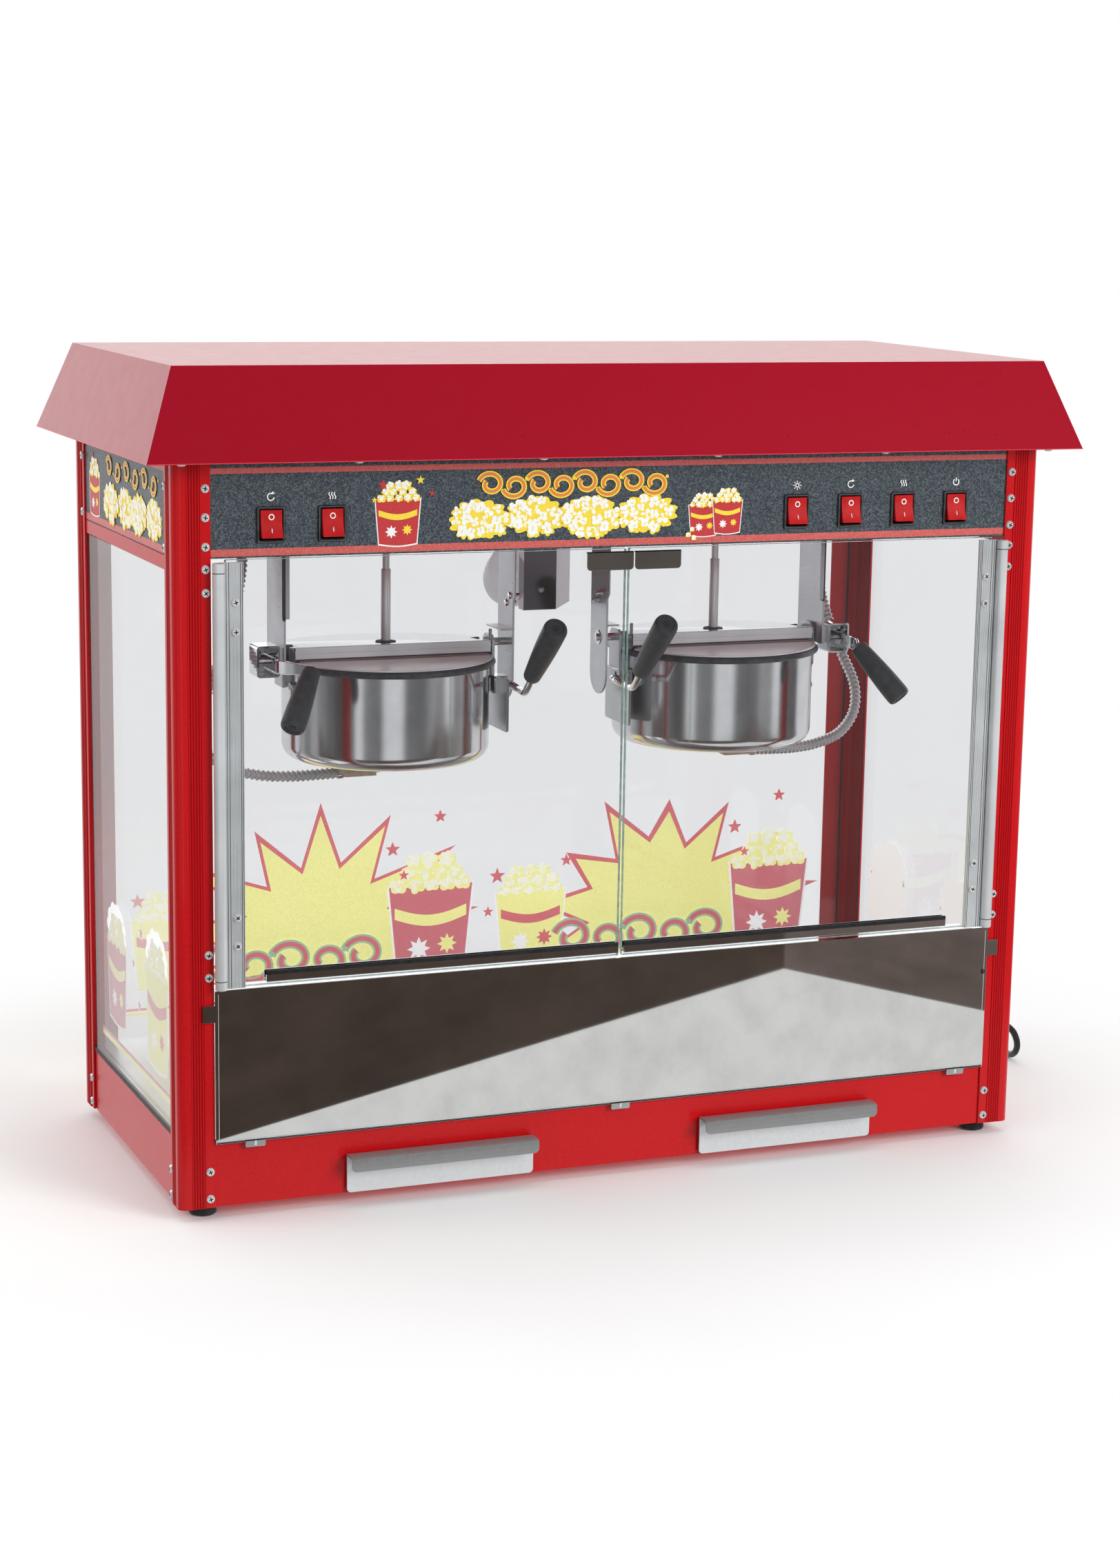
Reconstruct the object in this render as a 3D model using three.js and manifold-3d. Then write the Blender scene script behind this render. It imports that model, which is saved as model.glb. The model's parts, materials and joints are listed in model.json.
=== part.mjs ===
// Countertop popcorn cabinet with two tilting kettles.
// Millimetres, +Z up. The operator's side faces -Y. The origin is on the standing surface, under the
// middle of the cabinet. Every mesh is one closed solid.
import * as THREE from 'three';
import { mergeVertices } from 'three/addons/utils/BufferGeometryUtils.js';
import Module from 'manifold-3d';

const wasm = await Module();
wasm.setup();

// ---- driving dimensions -------------------------------------------------------------------------
const WIDTH = 856;             // over the corner posts
const DEPTH = 370;
const FOOT = 12;               // height of the feet, and the underside of the base
const BASE_TOP = 72;
const SILL_TOP = 215.5;
const GLASS_TOP = 590;
const HEADER_FLOOR = 603;      // underside of the plate that the kettles hang from
const ROOF_BOTTOM = 688;
const ROOF_TOP = 770;
const ROOF_OVERHANG = 30;
const GAP = 0.3;               // between pieces that touch
const SHEET = 2;               // folded sheet metal
const PANEL_SET = 3.3;         // from a post's outer face back to the panels behind its flanges
const PANEL_INSET = 12;        // panels stop this far from a post's outer corner
const GLASS = 4;

const POST = { face: 34, radius: 8, wall: 3, flange: 9, flangeSet: 1, flangeWall: 2,
  ribs: 5, ribFrom: 12.5, ribPitch: 2.5, ribDepth: 0.9 };

const DOOR = { bottom: 217, top: 602, y: -184, glass: 5, edge: 381, meet: 1.5,
  hingeX: 389, hingeY: -190, knuckle: 5.4, leaf: 4, leafInner: 366 };

const DRAWER = { x: 178, front: 184, frontTop: 50, lip: 17, body: 168, depth: 320, bodyTop: 43 };

const SWITCH = { z: 631.6, x: [-339.3, -283.2, 171, 227, 283, 339.3], w: 19.4, h: 25, holeW: 21,
  holeH: 28, tilt: 10 };

const KETTLE = { x: 172, axisZ: 492, r: 99.5, rim: 105.5, wall: 2, top: -10, bottom: -106, corner: 14 };
const LID = { r: 102.5, front: -26, top: 5.5, slope: 0.06, fold: 11.5, plate: 2, hole: 4.4, bush: 9.5 };
const DRIVE = { sleeve: 4.7, bore: 3.7, rod: 3.4, bottom: 5.8, sleeveTop: 74, rodBottom: 44,
  motorBottom: 662 };
const INNER_HANGER = { x: 122, w: 40, bottom: -56, hole: 4.4, foot: 14, shelf: [110, 13, 15] };
const OUTER_HANGER = { x: -109.5, w: 56, bottom: -12, lipFrom: 31, hole: 4.4 };
const PIN = 4;                 // kettle trunnion radius
const EAR = { inner: 103.7, outer: 106.7, thick: 3, half: 13, chamfer: 5, top: 8, bottom: -34, foot: 10 };
const CRANK = { rod: 3.6, elbow: 3.8, grip: 12.3, block: [100, 113.8, -31, -13, -46, -29],
  root: [114.1, -22, -38], start: [118, -22, -38], bend: [116, -72, -40], end: [116, -92, -19],
  gripFrom: [116, -88, -22], gripTo: [116, -150, 34] };
const LEVER = { thick: 3, tall: 13, pin: 3, pinHalf: 8.3, grip: 12.3, pivot: [-125.2, -20, -6],
  knee: [-123, -64, -6], tip: [-107, -108, -3], gripEnd: [-137, -144, -50] };
const AGITATOR = { shaft: 4, hub: 9, hubTop: 16, arm: 80, armTurn: 0.35, bar: 70, barTurn: -0.9, barZ: 34 };
const CONDUIT = { r: 5.7, steps: 28, route: [[-46, 0, -121], [-66, 2, -122], [-92, 6, -123],
  [-124, 12, -121], [-156, 20, -112], [-174, 26, -92], [-176, 30, -66], [-164, 34, -36],
  [-150, 38, -4], [-138, 40, 34], [-131, 40, 72], [-129, 40, 110.5]] };

const FEET = { x: 400, y: 160, r: 11.5, bulge: 13, bulgeZ: 2 };
const DECK = { rows: 6, pitchY: 34, firstY: -120, pitchX: 56, slot: [22, 3] };
const SILL = { face: 394, ledge: 392, ledgeDepth: 22, sheet: 1.7, lug: 405.5, lugZ: [185.2, 202.4] };
const MOTOR = { half: 32, deep: 24, leg: 3, legAt: 24, can: 26, top: 88 };
const LAMP = { x: -22, y: 58, bottom: 517, shieldBottom: 520 };

const CORD = { r: 3.5, z: 3.7, coilX: 360, coilY: 275, turnR: 38.5, layers: 2, rows: 3,
  exitX: 465.3, exitY: 20, exitZ: 58, glandHole: 6.2 };

// ---- materials ----------------------------------------------------------------------------------
const finish = (color, roughness, metalness) =>
  new THREE.MeshStandardMaterial({ color, roughness, metalness });
const RED = 0xb5161b;
const STEEL = 0xc9cdd0;
const BLACK = 0x17181a;

const cabinet = new THREE.Group();

function add(name, geometry, color, roughness = 0.4, metalness = 0.0) {
  const mesh = new THREE.Mesh(geometry, finish(color, roughness, metalness));
  mesh.name = name;
  cabinet.add(mesh);
  return mesh;
}

// ---- solids -------------------------------------------------------------------------------------
function toSolid(geometry) {
  const plain = geometry.clone();
  plain.deleteAttribute('normal');
  plain.deleteAttribute('uv');
  const merged = mergeVertices(plain, 1e-4);
  return new wasm.Manifold(new wasm.Mesh({
    numProp: 3,
    vertProperties: new Float32Array(merged.attributes.position.array),
    triVerts: new Uint32Array(merged.index.array),
  }));
}

function toGeometry(solid) {
  const mesh = solid.getMesh();
  const geometry = new THREE.BufferGeometry();
  geometry.setAttribute('position', new THREE.BufferAttribute(mesh.vertProperties, 3));
  geometry.setIndex(new THREE.BufferAttribute(mesh.triVerts, 1));
  return geometry;
}

function join(...geometries) {
  return toGeometry(geometries.map(toSolid).reduce((sum, next) => sum.add(next)));
}

function cut(geometry, ...tools) {
  return toGeometry(tools.map(toSolid).reduce((rest, tool) => rest.subtract(tool), toSolid(geometry)));
}

function box(x0, x1, y0, y1, z0, z1) {
  return new THREE.BoxGeometry(x1 - x0, y1 - y0, z1 - z0)
    .translate((x0 + x1) / 2, (y0 + y1) / 2, (z0 + z1) / 2);
}

function cylinder(r, from, to, sides = 24) {
  const a = new THREE.Vector3(...from);
  const b = new THREE.Vector3(...to);
  const along = b.clone().sub(a);
  const turn = new THREE.Quaternion()
    .setFromUnitVectors(new THREE.Vector3(0, 1, 0), along.clone().normalize());
  return new THREE.CylinderGeometry(r, r, along.length(), sides)
    .applyQuaternion(turn)
    .translate((a.x + b.x) / 2, (a.y + b.y) / 2, (a.z + b.z) / 2);
}

// A lathe about the vertical through (x, y); profile points are [radius, z], counter-clockwise.
function lathe(profile, sides, x = 0, y = 0) {
  const points = profile.map(([r, z]) => new THREE.Vector2(r, z));
  return new THREE.LatheGeometry(points, sides).rotateX(Math.PI / 2).translate(x, y, 0);
}

function outline(points) {
  return new THREE.Shape(points.map(([x, y]) => new THREE.Vector2(x, y)));
}

// Plan outline in X, Y, drawn upwards from z0 to z1.
function upright(shape, z0, z1, curveSegments = 8) {
  return new THREE.ExtrudeGeometry(shape, { depth: z1 - z0, bevelEnabled: false, curveSegments })
    .translate(0, 0, z0);
}

// Outline in Y, Z, drawn along X from x0 to x1.
function sideways(shape, x0, x1, curveSegments = 8) {
  return new THREE.ExtrudeGeometry(shape, { depth: x1 - x0, bevelEnabled: false, curveSegments })
    .applyMatrix4(new THREE.Matrix4().set(0, 0, 1, x0, 1, 0, 0, 0, 0, 1, 0, 0, 0, 0, 0, 1));
}

// Round hose along a smooth curve through the points.
function hose(points, r, steps) {
  const extrudePath = new THREE.CatmullRomCurve3(points.map((p) => new THREE.Vector3(...p)));
  const ring = new THREE.Shape();
  ring.absarc(0, 0, r, 0, 2 * Math.PI, false);
  return new THREE.ExtrudeGeometry(ring, { steps, curveSegments: 4, bevelEnabled: false, extrudePath });
}

// Mirror in X and/or Y, keeping faces pointing out.
function mirrored(geometry, mx, my = 1) {
  const copy = mergeVertices(geometry.clone().deleteAttribute('normal').deleteAttribute('uv'), 1e-5);
  copy.scale(mx, my, 1);
  if (mx * my < 0) {
    const index = copy.index.array;
    for (let i = 0; i < index.length; i += 3) {
      [index[i], index[i + 1]] = [index[i + 1], index[i]];
    }
  }
  return copy;
}

// ---- corner posts -------------------------------------------------------------------------------
// Section of an angled extrusion with its outer corner at (0, 0) and its faces along +X and +Y:
// round corner, ribbed middle, and a lower flange for the screws.
function postSection() {
  const { face, radius, wall, flange, flangeSet, flangeWall, ribs, ribFrom, ribPitch, ribDepth } = POST;
  const arm = [];
  for (let i = 0; i < ribs; i += 1) {
    const u = ribFrom + i * ribPitch;
    arm.push([u, 0], [u + ribPitch * 0.25, ribDepth], [u + ribPitch * 0.55, ribDepth],
      [u + ribPitch * 0.8, 0]);
  }
  arm.push([face - flange, 0], [face - flange, flangeSet], [face, flangeSet],
    [face, flangeSet + flangeWall], [face - flange - 1, wall]);
  const corner = (r) => [0, 1, 2, 3, 4].map((i) => {
    const a = Math.PI * (1.5 - i / 8);
    return [radius + r * Math.cos(a), radius + r * Math.sin(a)];
  });
  const inner = corner(radius - wall);
  const outer = corner(radius).reverse();
  const swap = arm.map(([u, v]) => [v, u]).reverse();
  return outline([...arm, ...inner, ...swap, ...outer]);
}

function posts() {
  const section = upright(postSection(), FOOT, ROOF_BOTTOM - GAP);
  const corner = section.translate(-WIDTH / 2, -DEPTH / 2, 0);
  const places = { front_left: [1, 1], front_right: [-1, 1], rear_left: [1, -1], rear_right: [-1, -1] };
  for (const [name, [mx, my]] of Object.entries(places)) {
    add(`post_${name}`, mirrored(corner, mx, my), RED, 0.35);
  }
}

// ---- base ---------------------------------------------------------------------------------------
const SIDE_OUT = WIDTH / 2 - PANEL_SET;           // outer face of the side panels
const FACE_OUT = DEPTH / 2 - PANEL_SET;           // outer face of the front and rear panels
const SIDE_RUN = DEPTH / 2 - PANEL_INSET;         // side panels reach this far in Y
const FACE_RUN = WIDTH / 2 - PANEL_INSET;         // front and rear panels reach this far in X

function base() {
  const floor = box(-SIDE_OUT, SIDE_OUT, -SIDE_RUN, SIDE_RUN, FOOT, FOOT + SHEET);
  const apron = box(-FACE_RUN, FACE_RUN, -FACE_OUT + SHEET + GAP, FACE_OUT, FOOT, FOOT + SHEET);
  const side = box(SIDE_OUT - SHEET, SIDE_OUT, -SIDE_RUN, SIDE_RUN, FOOT, BASE_TOP);
  const rear = box(-FACE_RUN, FACE_RUN, FACE_OUT - SHEET, FACE_OUT, FOOT, BASE_TOP);
  const glandHole = cylinder(CORD.glandHole, [SIDE_OUT - 6, CORD.exitY, CORD.exitZ],
    [SIDE_OUT + 6, CORD.exitY, CORD.exitZ], 16);
  add('base_tray', cut(join(floor, apron, side, mirrored(side, -1), rear), glandHole), RED, 0.4);

  const drawerHole = DRAWER.body / 2 + 3;
  const front = box(-FACE_RUN, FACE_RUN, -FACE_OUT, -FACE_OUT + SHEET, FOOT, BASE_TOP);
  const holes = [-1, 1].map((s) => box(s * DRAWER.x - drawerHole, s * DRAWER.x + drawerHole,
    -FACE_OUT - 1, -FACE_OUT + SHEET + 1, FOOT + SHEET + 1, DRAWER.bodyTop + 3));
  add('base_front', cut(front, ...holes), RED, 0.35);

  const foot = lathe([[0, 0], [FEET.r, 0], [FEET.bulge, FEET.bulgeZ], [FEET.r, FOOT - GAP],
    [0, FOOT - GAP]], 20);
  for (const [name, sx, sy] of [['front_left', -1, -1], ['front_right', 1, -1],
    ['rear_left', -1, 1], ['rear_right', 1, 1]]) {
    add(`foot_${name}`, foot.clone().translate(sx * FEET.x, sy * FEET.y, 0), BLACK, 0.8);
  }
}

// Perforated plate over the drawers: old maids fall through its slots.
function deck() {
  const x = SIDE_OUT - GLASS - 1;
  const y = FACE_OUT - GLASS - 1;
  const plate = box(-x, x, -y, y, BASE_TOP + GAP, BASE_TOP + GAP + SHEET);
  const slots = [];
  for (const side of [-1, 1]) {
    for (let row = 0; row < DECK.rows; row += 1) {
      for (let col = -1; col <= 1; col += 1) {
        const cx = side * DRAWER.x + col * DECK.pitchX;
        const cy = DECK.firstY + row * DECK.pitchY;
        const [hx, hy] = DECK.slot;
        slots.push(box(cx - hx, cx + hx, cy - hy, cy + hy, BASE_TOP - 4, BASE_TOP + 8));
      }
    }
  }
  add('deck', cut(plate, ...slots), STEEL, 0.25, 1);
}

// Polished panel below the doors, folded back at the top, with a lug over each post.
function sill() {
  const back = -DEPTH / 2 - GAP;
  const front = back - SILL.sheet;
  const face = box(-SILL.face, SILL.face, front, back, BASE_TOP + GAP, SILL_TOP);
  const ledge = box(-SILL.ledge, SILL.ledge, front, back + SILL.ledgeDepth, SILL_TOP - SILL.sheet,
    SILL_TOP);
  const lugs = box(-SILL.lug, SILL.lug, front, back, ...SILL.lugZ);
  add('sill_panel', join(face, ledge, lugs), STEEL, 0.08, 1);
}

// Pull-out trays for unpopped kernels.
function drawers() {
  const face = -DEPTH / 2;
  const half = DRAWER.front / 2;
  const lower = FOOT + 1;
  const plate = box(-half, half, face - 1.8, face, lower, DRAWER.frontTop);
  const lip = box(-half, half, face - DRAWER.lip, face, DRAWER.frontTop - 1.8, DRAWER.frontTop);
  const turnDown = box(-half, half, face - DRAWER.lip, face - DRAWER.lip + 1.8, DRAWER.frontTop - 7,
    DRAWER.frontTop);
  const b = DRAWER.body / 2;
  const y0 = face - 1;
  const y1 = face + DRAWER.depth;
  const z0 = FOOT + SHEET + 2;
  const hollow = box(-b + 1.5, b - 1.5, face, y1 - 1.5, z0 + 1.5, DRAWER.bodyTop + 5);
  const tray = cut(box(-b, b, y0, y1, z0, DRAWER.bodyTop), hollow);
  const drawer = join(plate, lip, turnDown, tray);
  add('drawer_left', drawer.clone().translate(-DRAWER.x, 0, 0), STEEL, 0.3, 1);
  add('drawer_right', drawer.clone().translate(DRAWER.x, 0, 0), STEEL, 0.3, 1);
}

// ---- header and roof ----------------------------------------------------------------------------
function header() {
  const floorFront = -FACE_OUT + SHEET + GAP;
  const floor = box(-SIDE_OUT, SIDE_OUT, -SIDE_RUN, SIDE_RUN, HEADER_FLOOR, HEADER_FLOOR + SHEET);
  const floorLong = box(-FACE_RUN, FACE_RUN, floorFront, FACE_OUT, HEADER_FLOOR, HEADER_FLOOR + SHEET);
  const side = box(SIDE_OUT - SHEET, SIDE_OUT, -SIDE_RUN, SIDE_RUN, GLASS_TOP + GAP, ROOF_BOTTOM - GAP);
  const rear = box(-FACE_RUN, FACE_RUN, FACE_OUT - SHEET, FACE_OUT, GLASS_TOP + GAP, ROOF_BOTTOM - GAP);
  const shaftHoles = [-1, 1].map((s) =>
    cylinder(6, [s * KETTLE.x, 0, HEADER_FLOOR - 5], [s * KETTLE.x, 0, HEADER_FLOOR + 9], 20));
  add('header_tray', cut(join(floor, floorLong, side, mirrored(side, -1), rear), ...shaftHoles), RED, 0.4);

  const fascia = box(-FACE_RUN, FACE_RUN, -FACE_OUT, -FACE_OUT + SHEET, HEADER_FLOOR, ROOF_BOTTOM - GAP);
  const holes = SWITCH.x.map((x) => box(x - SWITCH.holeW / 2, x + SWITCH.holeW / 2, -FACE_OUT - 3,
    -FACE_OUT + 6, SWITCH.z - SWITCH.holeH / 2, SWITCH.z + SWITCH.holeH / 2));
  add('header_fascia', cut(fascia, ...holes), 0x3f464c, 0.5);
}

// Flat-topped roof with four flared sides and a return flange under its edge.
function roof() {
  const frustum = (inset, z0, z1) => {
    const bx = WIDTH / 2 + ROOF_OVERHANG - inset;
    const by = DEPTH / 2 + ROOF_OVERHANG - inset;
    const tx = WIDTH / 2 - inset;
    const ty = DEPTH / 2 - inset;
    const shape = new THREE.BoxGeometry(2, 2, 2);
    const p = shape.attributes.position;
    for (let i = 0; i < p.count; i += 1) {
      const up = p.getZ(i) > 0;
      p.setXYZ(i, p.getX(i) * (up ? tx : bx), p.getY(i) * (up ? ty : by), up ? z1 : z0);
    }
    return shape;
  };
  const hollow = frustum(SHEET, ROOF_BOTTOM + SHEET, ROOF_TOP - SHEET);
  const mouth = box(-WIDTH / 2 + 10, WIDTH / 2 - 10, -DEPTH / 2 + 10, DEPTH / 2 - 10, ROOF_BOTTOM - 5,
    ROOF_BOTTOM + 8);
  add('roof', cut(frustum(0, ROOF_BOTTOM, ROOF_TOP), hollow, mouth), RED, 0.35);
}

// Rocker with its pivot on the X axis through (x, SWITCH.z); the upper end is pressed in at rest.
function rockers() {
  const lean = THREE.MathUtils.degToRad(-SWITCH.tilt);
  const h = SWITCH.h / 2;
  const section = outline([[4, 1.5 - h], [7, -3], [7, 3], [4, h - 1.5], [-5.2, h], [-3.4, 0], [-5.2, -h]]);
  SWITCH.x.forEach((x, i) => {
    const rocker = sideways(section, -SWITCH.w / 2, SWITCH.w / 2)
      .rotateX(lean)
      .translate(x, -FACE_OUT, SWITCH.z);
    add(`rocker_${i + 1}`, rocker, 0xc4161c, 0.3);
  });
}

// Gear motors stand over the header floor on four legs.
function motors() {
  for (const [name, s] of [['left', -1], ['right', 1]]) {
    const x = s * KETTLE.x;
    const z = DRIVE.motorBottom;
    const legs = [[-1, -1], [1, -1], [-1, 1], [1, 1]]
      .map(([dx, dy]) => [x + dx * MOTOR.legAt, dy * MOTOR.legAt])
      .map(([lx, ly]) => cylinder(MOTOR.leg, [lx, ly, HEADER_FLOOR + SHEET + GAP], [lx, ly, z + 2], 10));
    const gearbox = box(x - MOTOR.half, x + MOTOR.half, -MOTOR.half, MOTOR.half, z, z + MOTOR.deep);
    const can = cylinder(MOTOR.can, [x, 0, z + MOTOR.deep - 2], [x, 0, z + MOTOR.top], 28);
    add(`stirrer_motor_${name}`, join(gearbox, can, ...legs), 0x6d7276, 0.5, 0.8);
  }
}

// Shield in front of the lamp, folded from one sheet, and the lamp behind it.
function lamp() {
  const line = [[-28, 22], [-28, 8], [6, 8], [41, 60]];
  const back = [[39.6, 60.8], [5.2, 9.6], [-26.4, 9.6], [-26.4, 22]];
  add('lamp_shield', upright(outline([...line, ...back]), LAMP.shieldBottom, HEADER_FLOOR - GAP), STEEL,
    0.1, 1);
  const bulb = [[0, 0], [10, 2], [19, 7], [25.5, 16], [28, 28], [26.5, 38], [21, 49], [15, 59], [13.5, 69],
    [17, 71]].map(([r, z]) => [r, z + LAMP.bottom]);
  bulb.push([17, HEADER_FLOOR - GAP], [0, HEADER_FLOOR - GAP]);
  add('lamp_bulb', lathe(bulb, 20, LAMP.x, LAMP.y), 0xf4f2ea, 0.1);
}

// ---- glass and doors ----------------------------------------------------------------------------
function glazing() {
  const z0 = BASE_TOP + GAP;
  const z1 = GLASS_TOP;
  const side = box(SIDE_OUT - GLASS, SIDE_OUT, -SIDE_RUN, SIDE_RUN, z0, z1);
  add('side_glass_left', mirrored(side, -1), 0xdfe8e6, 0.05);
  add('side_glass_right', side, 0xdfe8e6, 0.05);
  add('rear_glass', box(-FACE_RUN, FACE_RUN, FACE_OUT - GLASS, FACE_OUT, z0, z1), 0xdfe8e6, 0.05);
}

function doors() {
  const { bottom, top, y, hingeX, hingeY } = DOOR;
  const glass = box(-DOOR.edge, -DOOR.meet, y, y + DOOR.glass, bottom, top);
  const knuckle = cylinder(DOOR.knuckle, [-hingeX, hingeY, bottom], [-hingeX, hingeY, top - 2], 16);
  const leaf = box(-hingeX, -DOOR.leafInner, y - DOOR.leaf - GAP, y - GAP, bottom, top - 2);
  const stile = join(knuckle, leaf);
  for (const [name, mx] of [['left', 1], ['right', -1]]) {
    add(`door_glass_${name}`, mirrored(glass, mx), 0xdfe8e6, 0.05);
    add(`door_hinge_${name}`, mirrored(stile, mx), 0xd7dadc, 0.35, 1);
  }
}

// ---- kettles ------------------------------------------------------------------------------------
// Kettle pieces are drawn for the left kettle about its tilt axis: +X is towards the middle of the
// cabinet, and the right kettle is the mirror image.
function pot() {
  const { r, rim, wall, top, bottom, corner } = KETTLE;
  const bend = (radius, cx, cz, from, to) => [0, 1, 2, 3, 4].map((i) => {
    const a = from + (to - from) * i / 4;
    return [cx + radius * Math.cos(a), cz + radius * Math.sin(a)];
  });
  const profile = [[0, bottom],
    ...bend(corner, r - corner, bottom + corner, -Math.PI / 2, 0),
    [r, top - 6], [rim, top - 4.5], [rim, top - 1], [rim - 1, top], [r - wall, top],
    ...bend(corner - wall, r - corner, bottom + corner, 0, -Math.PI / 2).map(([x, z]) => [x, z + 0.5]),
    [0, bottom + wall + 0.5]];
  const bowl = lathe(profile, 40);
  const { half, chamfer, top: earTop, bottom: earBottom, foot } = EAR;
  const shoulder = half - chamfer;
  const ear = outline([[-half, earBottom], [half, earBottom], [half, earTop - chamfer],
    [shoulder, earTop], [-shoulder, earTop], [-half, earTop - chamfer]]);
  const inner = sideways(ear, EAR.inner, EAR.inner + EAR.thick);
  const outer = sideways(ear, 0.1 - EAR.outer, 0.1 - EAR.outer + EAR.thick);
  const innerFoot = box(r - 1.2, EAR.inner + 1.3, -foot, foot, earBottom, earBottom + 12);
  const outerFoot = box(-EAR.inner - 1.3, 1.2 - r, -foot, foot, earBottom, earBottom + 12);
  const innerPin = cylinder(PIN, [EAR.inner + 0.3, 0, 0], [INNER_HANGER.x + 5, 0, 0], 20);
  const outerPin = cylinder(PIN, [-EAR.inner - 0.3, 0, 0], [OUTER_HANGER.x - 3, 0, 0], 20);
  const block = box(...CRANK.block);
  const apron = box(107, 109.5, -46, 14, -82, -30);
  return join(bowl, inner, outer, innerFoot, outerFoot, innerPin, outerPin, block, apron);
}

// Rear part of the lid: a sloping D-shaped pan whose straight front edge is folded down.
function lidRear() {
  const { r, front, top, slope, fold, plate, hole, bush } = LID;
  const dShape = (radius, y0) => {
    const a = Math.asin(y0 / radius);
    const shape = new THREE.Shape();
    shape.absarc(0, 0, radius, a, Math.PI - a, false);
    shape.closePath();
    return shape;
  };
  const skirtBottom = KETTLE.top + GAP;
  const lean = (geometry) => {
    const p = geometry.attributes.position;
    for (let i = 0; i < p.count; i += 1) {
      if (p.getZ(i) > skirtBottom + 0.01) {
        p.setZ(i, p.getZ(i) - slope * (p.getY(i) - front));
      }
    }
    return geometry;
  };
  const pan = lean(upright(dShape(r, front), skirtBottom, top, 24));
  const inside = lean(upright(dShape(r - plate, front + plate), skirtBottom, top - plate, 24));
  const below = upright(dShape(r - plate, front - 6), skirtBottom - 20, skirtBottom + 0.2, 24);
  const frontGap = box(-r - 2, r + 2, front - 5, front + plate + 0.5, skirtBottom - 5, top - fold);
  const earGaps = [-1, 1].map((s) => box(s * 99 - 8, s * 99 + 8, -15, 15, -30, top + 5));
  const bushRing = cylinder(bush, [0, 0, 1.8], [0, 0, top - 0.4], 28);
  const bore = cylinder(hole, [0, 0, -20], [0, 0, 20], 24);
  return cut(join(cut(pan, inside, below, frontGap), bushRing), bore, ...earGaps);
}

// Front part of the lid: a flap that hinges on a rolled edge in front of the rear part.
function lidFlap() {
  const hingeY = LID.front - 4.4;
  const z = KETTLE.top + GAP;
  const a = Math.asin(-(hingeY + 0.4) / LID.r);
  const shape = new THREE.Shape();
  shape.absarc(0, 0, LID.r, Math.PI + a, 2 * Math.PI - a, false);
  shape.closePath();
  const half = LID.r * Math.cos(a) - 3;
  const roll = cylinder(1.5, [-half, hingeY, z + 1.6], [half, hingeY, z + 1.6], 10);
  return join(upright(shape, z, z + 1.6, 24), roll);
}

function agitator() {
  const floor = KETTLE.bottom + KETTLE.wall + 0.5;
  const a = AGITATOR;
  const shaft = cylinder(a.shaft, [0, 0, floor + 2], [0, 0, DRIVE.bottom - GAP], 20);
  const hub = cylinder(a.hub, [0, 0, floor + 1], [0, 0, floor + a.hubTop], 20);
  const arm = box(-a.arm, a.arm, -1.5, 1.5, floor + 1, floor + 11).rotateZ(a.armTurn);
  const bar = box(-a.bar, a.bar, -2.5, 2.5, floor + a.barZ, floor + a.barZ + 4).rotateZ(a.barTurn);
  return join(shaft, hub, arm, bar);
}

function driveSleeve() {
  const { sleeve, bore, bottom, sleeveTop: top } = DRIVE;
  return lathe([[bore, bottom], [sleeve, bottom], [sleeve, top], [bore, top], [bore, bottom]], 24);
}

function driveRod() {
  const top = DRIVE.motorBottom - GAP - KETTLE.axisZ;
  return cylinder(DRIVE.rod, [0, 0, DRIVE.rodBottom], [0, 0, top], 20);
}

// A bent rod out of the block on the pot, with a long grip.
function crank() {
  const { rod, root, start, bend, end } = CRANK;
  const runs = [[root, start], [start, bend], [bend, end]].map(([a, b]) => cylinder(rod, a, b, 12));
  const elbow = new THREE.SphereGeometry(CRANK.elbow, 12, 8).translate(...bend);
  const grip = cylinder(CRANK.grip, CRANK.gripFrom, CRANK.gripTo, 24);
  return join(...runs, elbow, grip);
}

// Hanger on the outer side: plate, stiffening lip and the channel that holds the latch lever.
function hangerOuter() {
  const { x, w, bottom, lipFrom } = OUTER_HANGER;
  const top = HEADER_FLOOR - GAP - KETTLE.axisZ;
  const plate = box(x, x + SHEET, -w / 2, w / 2, bottom, top);
  const lip = box(x, x + 6, -w / 2, -w / 2 + SHEET, lipFrom, top);
  const foot = box(x - 14, x + 8, -w / 2, w / 2, top - SHEET, top);
  const channel = box(x - 27, x - 4.5, -31, -5, -21, 9);
  const pocket = box(x - 25, x - 6.5, -40, -8, -19, 7);
  const web = box(x - 5, x + 1, -26, -8, -11, 6);
  const bore = cylinder(OUTER_HANGER.hole, [x - 4, 0, 0], [x + 6, 0, 0], 20);
  return cut(join(plate, lip, foot, cut(channel, pocket), web), bore);
}

// Hanger on the inner side: a long plate down past the tilt axis, with a foot and a small shelf.
function hangerInner() {
  const { x, w, bottom, hole } = INNER_HANGER;
  const top = HEADER_FLOOR - GAP - KETTLE.axisZ;
  const shape = new THREE.Shape();
  shape.moveTo(-w / 2, top);
  shape.lineTo(-w / 2, bottom + w / 2);
  shape.absarc(0, bottom + w / 2, w / 2, Math.PI, 2 * Math.PI, false);
  shape.lineTo(w / 2, top);
  shape.closePath();
  const plate = sideways(shape, x, x + SHEET, 16);
  const foot = box(x, x + INNER_HANGER.foot, -w / 2, w / 2, top - SHEET, top);
  const [shelfFrom, shelfBottom, shelfTop] = INNER_HANGER.shelf;
  const shelf = box(shelfFrom, x + 1, -w / 2, w / 2, shelfBottom, shelfTop);
  const bore = cylinder(hole, [x - 4, 0, 0], [x + 6, 0, 0], 20);
  return cut(join(plate, foot, shelf), bore);
}

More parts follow.
